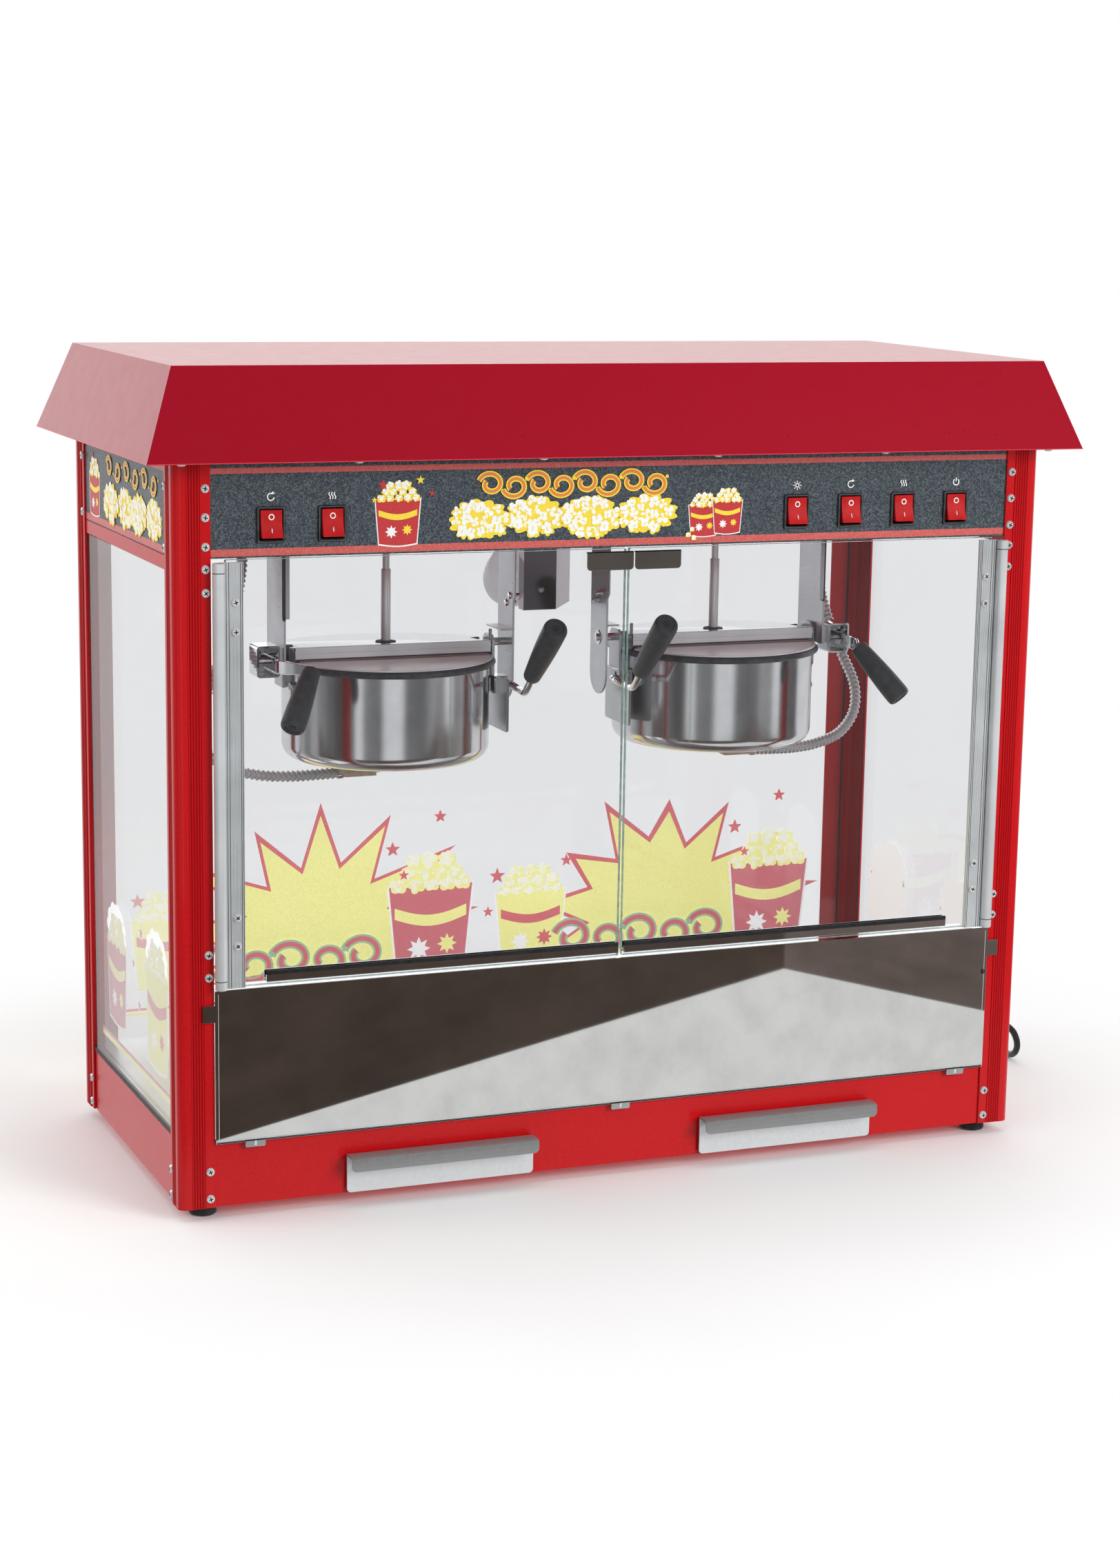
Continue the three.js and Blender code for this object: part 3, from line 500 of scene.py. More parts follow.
def pan_head(shape, at, axis, r=4.0, finish=0, dark=1):
    """Pan-head screw whose cross recess is drawn as a flat cross on the head; in the dark seam finish that
    cross is painted shade. Axis points out of the surface.
    """
    shape.lathe([(r, -0.3), (r, 0.5), (r * 0.94, 1.25), (r * 0.76, 1.95), (r * 0.48, 2.35), (0, 2.45)],
                at, axis, 20, finish)
    turn = Vector(axis).to_track_quat("Z", "Y").to_matrix()
    spin = Matrix.Rotation(0.4 + at[2] * 0.37 + at[0] * 0.11, 3, "Z")
    # Cross of the recess, drawn on top of the head; in the dark seam finish it is painted shade.
    for long, short in ((r * 0.52, r * 0.12), (r * 0.12, r * 0.52)):
        corners = [(-long, -short), (long, -short), (long, short), (-long, short)]
        rings = [[tuple(Vector(at) + turn @ (spin @ Vector((x, y, h)))) for x, y in corners]
                 for h in (2.0, 2.5)]
        shape.loft(rings, dark)


def restyle():
    """Finishes for the model's own pieces that stay visible."""
    looks = {"base_tray": "red", "base_front": "red", "header_tray": "red", "roof": "roof",
             "header_fascia": "fascia", "deck": "brushed", "stirrer_motor_left": "motor",
             "stirrer_motor_right": "motor", "agitator_left": "brushed", "agitator_right": "brushed"}
    for node, key in looks.items():
        for slot in frame["nodes"][node].material_slots:
            slot.material = FINISH[key]
    for node, width in (("roof", 1.1), ("base_front", 0.5), ("header_fascia", 0.3)):
        bevel(frame["nodes"][node], width, 3, 25)


def roof_hem():
    """Thin folded edge along the bottom of the roof, in a lighter red that is painted highlight."""
    x0, x1, y0, y1, z0, _ = cad("roof")
    shape = Shape()
    section = ((0.3, z0 + 0.9), (0.05, z0 + 0.7), (0.05, z0), (3, z0), (3, z0 + 0.9))
    rings = [[(x0 + inset, y0 + inset, z), (x1 - inset, y0 + inset, z), (x1 - inset, y1 - inset, z),
              (x0 + inset, y1 - inset, z)] for inset, z in section]
    shape.loft(rings, closed_ends=False, wrap=True)
    shape.make("roof_hem", ["hem"], "cabinet")


# ---- mains lead --------------------------------------------------------------------------------
COIL = {"at": (360, 275), "turns": 5.5, "steps": 30, "radii": [45.5, 38.5, 31.5, 31.5, 38.5, 45.5, 45.5],
        "heights": [3.7, 3.7, 3.7, 10.7, 10.7, 10.7, 10.7], "shift": 0.8}
CORD_R = 3.5


def coil():
    """Turns of the coil, laid in two layers; each turn shifts to the next radius near its end."""
    cx, cy = COIL["at"]
    out = []
    for k in range(int(COIL["turns"] * COIL["steps"]) + 1):
        turn = k / COIL["steps"]
        i = int(turn)
        w = max(0.0, (turn - i - COIL["shift"]) / (1 - COIL["shift"]))
        w = w * w * (3 - 2 * w)
        r, h = (values[i] + (values[i + 1] - values[i]) * w for values in (COIL["radii"], COIL["heights"]))
        a = -math.pi / 2 - TAU * turn
        out.append(Vector((cx + r * math.cos(a), cy + r * math.sin(a), h)))
    return out


def plug():
    """Plain two-pin plug with a ridged boot."""
    x0, x1, y0, y1, z0, z1 = cad("power_plug")
    cy, cz = (y0 + y1) / 2, (z0 + z1) / 2
    shape = Shape()
    boot = []
    for i in range(9):
        r, x = 4.4 + 2.4 * i / 8, x0 + i * 3.1
        boot += [(r, x), (r, x + 1.6), (r - 0.9, x + 1.8), (r - 0.9, x + 2.8)]
    shape.lathe([(4.2, x0)] + boot + [(7, x0 + 28.4), (7, x0 + 30)], (0, cy, cz), RIGHT, 24)
    rings = []
    for x, half_width, half_height, r in ((28, 7, 7, 5), (31, 10, 9, 6), (38, 10.8, 9.8, 5),
                                          (50, 10.4, 9.4, 5), (60, 10.8, 9.8, 5), (65, 10, 9, 5)):
        ring = rounded(-half_width, half_width, -half_height, half_height, r)
        rings.append([(x0 + x, cy + a, cz + b) for a, b in ring])
    shape.loft(rings)
    for side in (-6, 6):
        blade = rounded(side - 2.1, side + 2.1, -0.8, 0.8, 0.6, 3)
        shape.loft([[(x, cy + a, cz + b) for a, b in blade] for x in (x0 + 63, x1 - 1)]
                   + [[(x1 - 0.1, cy + side + (a - side) * 0.6, cz + b * 0.5) for a, b in blade]], 1)
    return shape.make("plug", ["black", "chrome"], "cabinet", "power_plug", smooth=40)


def gland():
    """Cable gland: washer, nut and tapered strain relief."""
    x0, x1, y0, y1, z0, z1 = cad("cord_gland")
    centre = (0, (y0 + y1) / 2, (z0 + z1) / 2)
    shape = Shape()
    shape.lathe([(5.3, x0), (5.3, x0 + 6)], centre, RIGHT, 24)
    shape.lathe([(9.6, x0 + 5.2), (10.6, x0 + 5.6), (10.6, x0 + 8.4), (9.2, x0 + 8.8)], centre, RIGHT, 32)
    shape.lathe([(9.2, x0 + 8.4), (10.2, x0 + 9.4), (10.2, x0 + 14), (8.8, x0 + 15.6)], centre, RIGHT, 6)
    relief = [(7.6, x0 + 15)]
    ridges = 8
    for i in range(ridges):
        r, h = 7.6 - 3.0 * i / ridges, x0 + 16 + (x1 - x0 - 16) * i / ridges
        relief += [(r, h), (r, h + 1.7), (r - 0.7, h + 2.0), (r - 0.7, h + 2.8)]
    shape.lathe(relief + [(4.4, x1)], centre, RIGHT, 28)
    return shape.make("lead_gland", ["black"], "cabinet", "cord_gland", smooth=40)


def lead():
    """The mains lead on one smooth route, its coil, and the plug and gland at its ends."""
    route = [(465.3, 20, 58), (487, 20, 57.5), (510, 20, 56), (527, 20, 53), (541, 20.5, 47.5),
             (550.5, 21.5, 40), (556.5, 23.5, 30.5), (560.5, 27.5, 21), (562.5, 34, 12.5), (564, 44, 6.5),
             (566, 56, 3.9), (570, 75, 3.7), (577, 101, 3.7), (584, 130, 3.7), (588, 160, 3.7),
             (582, 190, 3.7), (563, 215, 3.7), (532, 229, 3.7), (495, 231, 3.7), (460, 230, 3.7),
             (425, 229.5, 3.7), (386.5, 229.5, 3.7)]
    points = smooth_path(route, 8) + coil() + [Vector((373, 320.5, 10.7)), Vector((386.8, 320.5, 10.7))]
    shape = Shape()
    shape.tube(points, CORD_R, 16)
    flex = shape.make("power_lead", ["pvc"], "cabinet", "power_cord", "power_cord_coil")
    plug_piece = plug()
    gland_piece = gland()


# ---- frame, base and glass ---------------------------------------------------------------------
RIBS = [12.5 + 2.5 * i for i in range(5)]       # of a post, measured from its corner


def post_section():
    """Corner at (0, 0), faces along +X and +Y, with rounded ribs and a set-back screw flange."""
    arm = []
    for u in RIBS:
        arm += [(u, 0.0), (u + 0.5, 0.75), (u + 1.0, 0.9), (u + 1.4, 0.75), (u + 1.9, 0.0)]
    arm += [(25.0, 0.0), (25.0, 1.0), (33.4, 1.0), (34.0, 1.5), (34.0, 3.0), (24.0, 3.0)]
    inner = arc(8, 8, 5, 270, 180, 8)
    outer = arc(8, 8, 8, 180, 270, 14)
    return arm + inner + [(b, a) for a, b in reversed(arm)] + outer


def posts():
    """Corner posts, with darker red strips in the grooves between the ribs as painted shade."""
    section = post_section()
    for name in ("front_left", "front_right", "rear_left", "rear_right"):
        x0, x1, y0, y1, z0, z1 = cad(f"post_{name}")
        sx, px = (1, x0) if "left" in name else (-1, x1)
        sy, py = (1, y0) if "front" in name else (-1, y1)
        shape = Shape()
        shape.extrude([(px + sx * a, py + sy * b) for a, b in section], "z", z0, z1)
        # Strips in the grooves take the darker red: painted shade.
        for rib in RIBS:
            along, across = (rib - 0.6, rib + 0.02), (-0.02, 0.3)
            for (a, b), (c, d) in ((along, across), (across, along)):
                shape.box(px + sx * a, px + sx * b, py + sy * c, py + sy * d, z0 + 0.2, z1 - 0.2, 1)
        shape.make(f"corner_post_{name}", ["red", "groove_shade"], "cabinet", f"post_{name}", smooth=28)


def screws():
    """Screws of the frame, all in one piece: flanges of the four posts, and the roof's edge."""
    front = (664.5, 639.3, 613.6, 594.1, 573.4, 248.5, 227.5, 46.2, 20.6)
    rear = (664.5, 613.6, 400, 227.5, 46.2, 20.6)
    flank = (664.8, 610.7, 43.6, 19.4)
    under_roof = (-425, -266, -93, 78, 250, 425)
    shape = Shape()
    x, y = cad("post_front_right")[1:3]
    for s in (-1, 1):
        for z in front:
            pan_head(shape, (s * (x - 29), y + 1, z), FRONT)
        for z in rear:
            pan_head(shape, (s * (x - 29), -y - 1, z), BACK)
        for side in (-1, 1):
            for z in flank:
                pan_head(shape, (s * (x - 1), side * 155.5, z), (s, 0, 0))
    low = cad("roof")[4]
    for at in under_roof:
        for y in (-206, 206):
            pan_head(shape, (at, y, low + 0.3), DOWN, 4.2)
    shape.make("frame_screws", ["screw", "seam"], "cabinet", smooth=50)


def feet():
    """Rubber feet, one piece each."""
    for name in ("front_left", "front_right", "rear_left", "rear_right"):
        x0, x1, y0, y1, _, z1 = cad(f"foot_{name}")
        shape = Shape()
        profile = [(0, 0), (10.4, 0), (11.6, 0.5), (12.8, 2.2), (12.6, 3.4), (11.7, z1 - 1), (11.2, z1),
                   (0, z1)]
        shape.lathe(profile, ((x0 + x1) / 2, (y0 + y1) / 2, 0), sides=40)
        shape.make(f"rubber_{name}", ["rubber"], "cabinet", f"foot_{name}")


def sill():
    """Polished panel under the doors, with a lug on each side."""
    _, x1, y0, y1, z0, z1 = cad("sill_panel")
    front, back = y0, y0 + 1.7
    edge = 394
    lug_low, lug_high = 186.5, 202.2
    shape = Shape()
    right = [(edge, z0), (edge, lug_low), (x1 - 0.6, lug_low), (x1, lug_low + 0.6), (x1, lug_high - 0.6),
             (x1 - 0.6, lug_high), (edge, lug_high), (edge, z1 - 1), (edge - 1, z1)]
    shape.extrude(right + [(-a, b) for a, b in reversed(right)], "y", front, back)
    shape.box(-392, 392, back - 0.2, y1, z1 - 1.7, z1)
    inset = edge - 0.4
    for proud, low, high, finish in ((-0.9, 0.1, 1.2, 1), (0.12, 1.3, 1.9, 2), (0.3, 2.0, 2.9, 3)):
        shape.box(-inset, inset, front - proud, front, z0 + low, z0 + high, finish)
    for s in (-1, 1):
        shape.box(s * (edge - 2.6), s * (edge - 3.1), front - 0.12, front, z0 + 3, z1 - 3, 3)
    shape.lathe([(2.6, 0), (2.6, 0.12), (0, 0.12)], (390, front, 170.5), FRONT, 24, 2)
    shape.make("sill_front", ["mirror", "chrome", "seam", "alu"], "cabinet", "sill_panel", edge=0.35)


def sill_clips():
    """Three clips that hold the sill panel along its bottom edge."""
    _, _, front, _, z0, _ = cad("sill_panel")
    clips = Shape()
    low, half = 67.2, 9.5
    for c in (-357.5, 2, 363):
        outline = rounded(c - half, c + half, low, z0 + 1.4, 1.6, 4, (1, 1, 0, 0))
        clips.extrude(outline, "y", front - 1.0, front - 0.2)
        clips.box(c - half, c + half, front - 1.0, front + 0.5, z0 + 0.6, z0 + 1.4)
        clips.box(c - 1.2, c + 1.2, front - 1.4, front - 0.8, low + 1.4, z0 + 1.0, 1)
    clips.make("sill_clips", ["brushed", "chrome"], "cabinet", edge=0.2)


def drawers():
    """Drawer fronts with a rolled finger lip, and their open trays."""
    face = -185.0
    half, low, high, wall = 84, 16.0, 43.0, 1.2
    for side, _ in SIDES:
        node = f"drawer_{side}"
        x0, x1, y0, y1, z0, z1 = cad(node)
        shape = Shape()
        plate = rounded(x0, x1, z0, z1 - 2, 4, 5, (1, 1, 0, 0))
        shape.extrude(plate, "y", face - 1.5, face)
        curl = [(face, z1 - 2.2), (face, z1), (face - 3, z1), (y0 + 3.6, z1), (y0 + 0.9, z1 - 1.0),
                (y0, z1 - 3.2), (y0, z1 - 8.5), (y0 + 1.2, z1 - 8.5), (y0 + 1.2, z1 - 3.4),
                (y0 + 2.0, z1 - 1.9), (y0 + 3.8, z1 - 1.3), (face - 1.5, z1 - 1.4), (face - 1.5, z1 - 2.2)]
        shape.extrude(curl, "x", x0, x1, 1)
        drop = rounded(x0, x1, z1 - 13, z1 - 7.9, 4.6, 6, (1, 1, 0, 0))
        shape.extrude(drop, "y", y0, y0 + 1.2, 1)
        left, right = (x0 + x1) / 2 - half, (x0 + x1) / 2 + half
        start = face - 0.5
        for span in ((left, right, start, y1, low, low + wall), (left, left + wall, start, y1, low, high),
                     (right - wall, right, start, y1, low, high), (left, right, y1 - wall, y1, low, high),
                     (left, right, start, face + 0.8, low, high)):
            shape.box(*span, 2)
        shape.make(f"kernel_drawer_{side}", ["drawer", "lip", "brushed"], node, node, edge=0.25)


def glazing():
    """The glass sheets. Only the doors show a green edge."""
    for node in ("side_glass_left", "side_glass_right", "rear_glass"):
        glass_sheet(f"{node}_sheet", node, "cabinet", 0)
    for side, _ in SIDES:
        glass_sheet(f"door_sheet_{side}", f"door_glass_{side}", f"door_{side}", 1)


def gaskets():
    """Dark strips along the edges of the fixed glass."""
    thick = 0.35
    shape = Shape()
    for side, s in SIDES:
        x0, x1, y0, y1, z0, z1 = cad(f"side_glass_{side}")
        x = x0 - thick if s < 0 else x1
        for a, b in ((y0 + 0.5, y0 + 3), (y1 - 19.5, y1 - 17.5)):
            shape.box(x, x + thick, a, b, z0 + 0.5, z1 - 0.5)
        shape.box(x, x + thick, y0 + 4, y1 - 22, z0 + 0.5, z0 + 4.5)
    x0, x1, _, y1, z0, z1 = cad("rear_glass")
    for a in (x0 + 1, x1 - 3):
        shape.box(a, a + 2, y1, y1 + thick, z0 + 0.5, z1 - 0.5)
    shape.make("glass_gaskets", ["gasket"], "cabinet")


def glass_sheet(name, node, body, edge_finish):
    """Sheet with ground edges."""
    x0, x1, y0, y1, z0, z1 = cad(node)
    grind = 0.3
    across = x1 - x0 < y1 - y0
    a0, a1, t0, t1 = (y0, y1, x0, x1) if across else (x0, x1, y0, y1)
    rings = []
    for t, d in ((t0, grind), (t0 + grind, 0), (t1 - grind, 0), (t1, grind)):
        outline = rounded(a0 + d, a1 - d, z0 + d, z1 - d, 1.5, 3)
        rings.append([(t, a, z) if across else (a, t, z) for a, z in outline])
    shape = Shape()
    shape.loft(rings, edge_finish, closed_ends=False)
    n, total = len(rings[0]), len(shape.points)
    shape.faces += [tuple(range(n)), tuple(range(total - n, total))]
    shape.finish += [0, 0]
    shape.make(name, ["glass", "glass_edge"], body, node, smooth=10)


def stile(side, s, glass):
    """Ribbed clamp on the hinge side of a door, with the hinge tube, its screws and dark seams."""
    z0, z1 = cad(f"door_hinge_{side}")[4:]
    hinge = [c / MM for c in joint(f"door_{side}_hinge")["pos_m"][:2]]
    back, front = glass[2] - 0.3, glass[2] - 3.9
    inner, outer, ribs = 366.0, 384.2, 15
    w = (outer - inner) / ribs
    face = []
    for i in range(ribs):
        a = inner + (outer - inner) * i / ribs
        face += [(a, front), (a + w * 0.5, front), (a + w * 0.62, front + 0.5), (a + w * 0.88, front + 0.5)]
    section = [(inner, back)] + face + [(outer, front), (outer + 3, front + 0.3), (outer + 3, back)]
    shape = Shape()
    shape.extrude([(s * a, b) for a, b in section], "z", z0, z1)
    tube = [(0, z0), (4.9, z0), (5.4, z0 + 0.6), (5.4, z1 - 0.6), (4.9, z1), (0, z1)]
    shape.lathe(tube, (*hinge, 0), sides=36)
    for z in (z0 + 8, z1 - 9):
        shape.lathe([(5.45, z), (5.45, z + 0.7)], (*hinge, 0), sides=36, finish=2)
    for u in (366.6, 368.4, 379.0, 381.2, 383.2, 385.0):
        shape.box(s * u, s * (u + 0.4), front - 0.06, front + 0.3, z0 + 0.3, z1 - 0.3, 2)
    for z in (565, 539, 282, 256):
        pan_head(shape, (s * 373.2, front, z), FRONT, 3.9, 1, 2)
    for z in (552, 269):
        shape.box(s * 384.6, s * 387.2, front - 0.9, front + 0.5, z - 20, z + 20, 2)
    shape.make(f"door_stile_{side}", ["alu", "screw", "seam"], f"door_{side}", f"door_hinge_{side}",
               smooth=30)


def door_trim(side, s, glass):
    """Channel along the bottom edge of a door, with its dark seal."""
    front, back, low = glass[2:5]
    xs = sorted((s * 3.0, s * 346.0))
    channel = [(front - 0.1, low + 3), (front - 2.0, low + 3), (front - 2.4, low + 3.6),
               (front - 2.4, low + 12), (front - 1.6, low + 13), (front - 0.1, low + 13)]
    shape = Shape()
    shape.extrude(channel, "x", *xs)
    shape.box(*xs, front - 2.5, front - 0.1, low + 9.6, low + 13.2, 1)
    shape.box(*xs, back + 0.1, back + 1.6, low + 3, low + 13)
    shape.make(f"door_bottom_trim_{side}", ["chrome", "seam"], f"door_{side}", edge=0.2)


def door_catch(side, front):
    """Plate in front of the top edge of a door, held by the header."""
    cx = {"left": -18.5, "right": 29}[side]
    low, high, half = 582.5, 599.5, 23
    shape = Shape()
    plate = rounded(cx - half, cx + half, low, high, 3.6, 6, (1, 1, 0, 0))
    shape.extrude(plate, "y", front - 3.4, front - 2.2)
    shape.box(cx - half, cx + half, front - 3.4, front - 0.2, high - 1.2, high)
    shape.box(cx - 21, cx + 21, front - 2.3, front - 0.2, 590, 591.2, 1)
    shape.make(f"door_catch_{side}", ["catch", "brushed"], "cabinet", edge=0.3)


def doors():
    """Each door's ribbed hinge stile, the trim along its bottom edge, and its catch."""
    for side, s in SIDES:
        glass = cad(f"door_glass_{side}")
        stile(side, s, glass)
        door_trim(side, s, glass)
        door_catch(side, glass[2])


# ---- header ------------------------------------------------------------------------------------
def rocker(i, cx, cy, cz):
    """One rocker, curved and leaning about its pivot, with a ring and a bar on its face."""
    half_height, half_width = 12.4, 9.7
    lean = math.radians(-10)

    def leaned(depth, up):
        return (cy + depth * math.cos(lean) - up * math.sin(lean),
                cz + depth * math.sin(lean) + up * math.cos(lean))

    def curve(up):
        """Depth of the curved face at a height above the pivot."""
        return -3.4 - 1.7 * (up / half_height) ** 2

    def on_face(across, up):
        return (cx + across, *leaned(curve(up) - 0.28, up))
    face = [(curve(half_height * t / 12), half_height * t / 12) for t in range(-12, 13)]
    back = [(3.2, half_height - 1.4), (6.6, 3), (6.6, -3), (3.2, -half_height + 1.4)]
    shape = Shape()
    shape.extrude([leaned(*p) for p in face + back], "x", cx - half_width, cx + half_width)
    n = 20
    shape.loft([[on_face(r * math.cos(TAU * k / n), 6.3 + r * math.sin(TAU * k / n)) for k in range(n)]
                for r in (2.7, 1.8)], 1, closed_ends=False)
    shape.loft([[on_face(-0.6, up), on_face(0.6, up)] for up in (-8.2, -6.4, -4.6, -3.2)], 1,
               closed_ends=False)
    shape.make(f"switch_key_{i}", ["rocker", "white"], f"switch_{i}", f"rocker_{i}", smooth=40, edge=0.35)


def rockers():
    """The switches: a frame round each, and its rocker with the generic on and off marks."""
    bezel = Shape()
    for i in range(1, 7):
        cx, cy, cz = (c / MM for c in joint(f"switch_{i}_rock")["pos_m"])

        def frame_ring(depth, half_width, half_height, r):
            outline = rounded(cx - half_width, cx + half_width, cz - half_height, cz + half_height, r, 4)
            return [(a, cy + depth, b) for a, b in outline]
        bezel.loft([frame_ring(*ring) for ring in ((-0.05, 13, 16, 1.8), (-1.6, 13, 16, 1.8),
                                                   (-2.2, 12.3, 15.3, 1.6), (-2.2, 10.7, 14, 1.0),
                                                   (-1.2, 10.1, 13.4, 0.8), (1.9, 10.1, 13.4, 0.8))],
                   closed_ends=False)
        bezel.loft([frame_ring(-2.26, 12.2, 15.2, 1.2), frame_ring(-2.26, 11.8, 14.8, 1.2)], 1,
                   closed_ends=False)
        rocker(i, cx, cy, cz)
    bezel.make("switch_bezels", ["black", "bezel"], "cabinet", smooth=30)


# Print levels: a flash lies lowest, then tubs and heaps, and the curls on top.
TUB_LEVEL, HEAP_LEVELS, CURL_LEVEL = 4, (4, 58), 112
LEVEL_STEP = 0.008
PRINT_BOTTOM = 103         # of the prints on the glass, above the floor
FASCIA_INKS = ["white", "yellow", "corn", "shade", "orange", "crimson"]
GLASS_INKS = ["white", "yellow", "corn", "red", "tub", "green"]


class Art:
    """Flat printed shapes stacked in front of a surface, each a hair above the last."""

    def __init__(self, to_space, inks):
        self.shape = Shape()
        self.to_space = to_space
        self.inks = inks
        self.level = 0

    def add(self, outline, finish, faces=None):
        self.level += 1
        points = [self.to_space(a, b, self.level * LEVEL_STEP) for a, b in outline]
        self.shape.add(points, faces or [tuple(range(len(points)))], self.inks.index(finish))

    def make(self, name, prefix=""):
        """The print as one piece; its finishes are the prefix and the names of the inks."""
        self.shape.make(name, [prefix + key for key in self.inks], "cabinet", smooth=10)

    def strip(self, line, width, finish):
        """Ribbon of constant width along a line."""
        left, right = [], []
        for i, (x, y) in enumerate(line):
            x0, y0 = line[max(i - 1, 0)]
            x1, y1 = line[min(i + 1, len(line) - 1)]
            d = math.hypot(x1 - x0, y1 - y0) or 1
            nx, ny = -(y1 - y0) / d * width / 2, (x1 - x0) / d * width / 2
            left.append((x + nx, y + ny))
            right.append((x - nx, y - ny))
        n = len(line)
        self.add(left + right, finish, [(i, i + 1, n + i + 1, n + i) for i in range(n - 1)])

    def stars(self, spots, finish, grow=0.0):
        for x, y, r in spots:
            self.add(star(x, y, r + grow), finish)


def star(cx, cy, r, n=5, inner=0.42):
    """Outline of a star with n points."""
    reach = [r if k % 2 == 0 else r * inner for k in range(2 * n)]
    return [(cx + d * math.sin(math.pi * k / n), cy + d * math.cos(math.pi * k / n))
            for k, d in enumerate(reach)]


def cloud(cx, cy, rx, ry, lobes, seed, depth=0.13, n=96):
    """Scalloped outline of a heap."""
    rng = random.Random(seed)
    jitter = [rng.uniform(0.75, 1.25) for _ in range(lobes)]
    out = []
    for k in range(n):
        a = TAU * k / n
        lobe = int(a / TAU * lobes) % lobes
        bulge = abs(math.sin(a * lobes / 2)) * depth * jitter[lobe]
        scale = 1 - depth + bulge
        out.append((cx + rx * scale * math.cos(a), cy + ry * scale * math.sin(a)))
    return out


def popped(art, cx, cy, size, rng, inks):
    """One popped kernel: a white lobed flake over a golden patch, with a golden fold across it."""
    gold, flesh, dim = inks
    art.add(cloud(cx + 0.12 * size, cy - 0.18 * size, size * 0.95, size * 0.85, rng.randint(4, 6),
                  rng.random(), 0.3, 30), gold)
    turn = rng.uniform(0, TAU)
    count = rng.randint(3, 5)
    lobes = [(turn + TAU * k / count + rng.uniform(-0.3, 0.3), rng.uniform(0.34, 0.52),
              rng.uniform(0.22, 0.38)) for k in range(count)]
    outline = []
    for k in range(44):
        a = TAU * k / 44
        reach = 0.24
        for at, out, r in lobes:
            inside = r * r - (out * math.sin(a - at)) ** 2
            if inside > 0:
                reach = max(reach, out * math.cos(a - at) + math.sqrt(inside))
        outline.append((cx + size * reach * math.cos(a), cy + size * reach * math.sin(a)))
    art.add(outline, flesh)
    a = turn + 0.6
    art.strip([(cx + size * t * math.cos(a), cy + size * (t * math.sin(a) + 0.2 * t * t))
               for t in (-0.1, 0.15, 0.4)], size * 0.14, dim if count > 3 else gold)


def pile(art, spots, size, rng, inks):
    """Kernels at the spots, in 17 repeating steps so that neighbours never share a plane."""
    start = art.level
    for i, (x, y) in enumerate(spots):
        art.level = start + 3 * (i % 17)
        popped(art, x, y, size * rng.uniform(0.8, 1.12), rng, inks)


def heap(art, cx, cy, rx, ry, size, seed):
    """A heap of popped kernels inside an ellipse."""
    rng = random.Random(seed)
    art.level = HEAP_LEVELS[seed % 2]
    art.add(cloud(cx, cy, rx + size * 0.35, ry + size * 0.35, 13, seed, 0.2, 120), "yellow")
    spots = []
    for _ in range(500):
        a, r = rng.uniform(0, TAU), math.sqrt(rng.random()) * 0.93
        x, y = cx + rx * r * math.cos(a), cy + ry * r * math.sin(a)
        if all(math.hypot(x - p, y - q) > size * 1.02 for p, q in spots):
            spots.append((x, y))
    pile(art, sorted(spots, key=lambda p: -p[1]), size, rng, KERNEL)


def tub(art, cx, y0, width, height, inks, seed, flare=0.16, level=TUB_LEVEL):
    """Popcorn tub: a tapered cup with a curved band, a scalloped lip and stars."""
    body, band, bright, kernel = inks
    w0, w1 = width * (0.5 - flare / 2), width * 0.5
    size = width * 0.12
    base = [(cx - w0 + 2 * w0 * t / 8, y0 - 0.05 * height * math.sin(math.pi * t / 8)) for t in range(9)]
    top = [(cx + w1 - 2 * w1 * t / 16, y0 + height - 0.035 * height * abs(math.sin(math.pi * t / 2)))
           for t in range(17)]
    cup = base + top
    grown = [(cx + (x - cx) * 1.05, y + (0.02 if y > y0 + height / 2 else -0.03) * height) for x, y in cup]
    art.level = level
    if "backing" in art.inks:
        art.add(grown, "backing")
        art.add(cloud(cx, y0 + height + size * 1.4, width * 0.52, size * 3.0, 11, seed, 0.1), "backing")
    art.add(grown, bright)
    art.add(cup, body)
    lower = [(cx - w1 * 0.86 + 1.72 * w1 * t / 10, y0 + height * (0.62 - 0.1 * math.sin(math.pi * t / 10)))
             for t in range(11)]
    art.add(lower + [(x, y + 0.13 * height) for x, y in reversed(lower)], band)
    art.add(star(cx - w0 * 0.35, y0 + height * 0.26, width * 0.14, 8, 0.55), bright)
    art.add(star(cx + w0 * 0.5, y0 + height * 0.3, width * 0.12, 8, 0.55), band)
    rng = random.Random(seed)
    spots = [(cx + (k - (4 - row) / 2) * size * 1.6 + rng.uniform(-0.2, 0.2) * size,
              y0 + height + size * (0.2 + 1.1 * row)) for row in range(3) for k in range(5 - row)]
    pile(art, spots, size, rng, kernel)


def scrolls(art, x0, x1, y, high, inks, count):
    """A row of plain curls and dots, as a border."""
    edge, fill = inks
    step = (x1 - x0) / count
    for k in range(count):
        art.level = CURL_LEVEL + 3 * (k % 2)
        cx = x0 + step * (k + 0.5)
        flip = 1 if k % 2 == 0 else -1
        line = []
        for t in (i / 28 for i in range(29)):
            a = flip * (math.pi * 0.9 - t * TAU * 1.05)
            r = (0.42 - 0.24 * t) * high
            line.append((cx + r * math.cos(a) * 1.15, y + flip * 0.04 * high + r * math.sin(a)))
        art.strip(line, high * 0.21, edge)
        art.strip(line, high * 0.11, fill)
        art.add(cloud(cx + step / 2, y - flip * high * 0.2, high * 0.07, high * 0.07, 5, k, 0.1, 14), edge)


KERNEL = ("yellow", "corn", "shade")
RED_TUB = ("crimson", "yellow", "white", KERNEL)
CURLS = ("yellow", "orange")


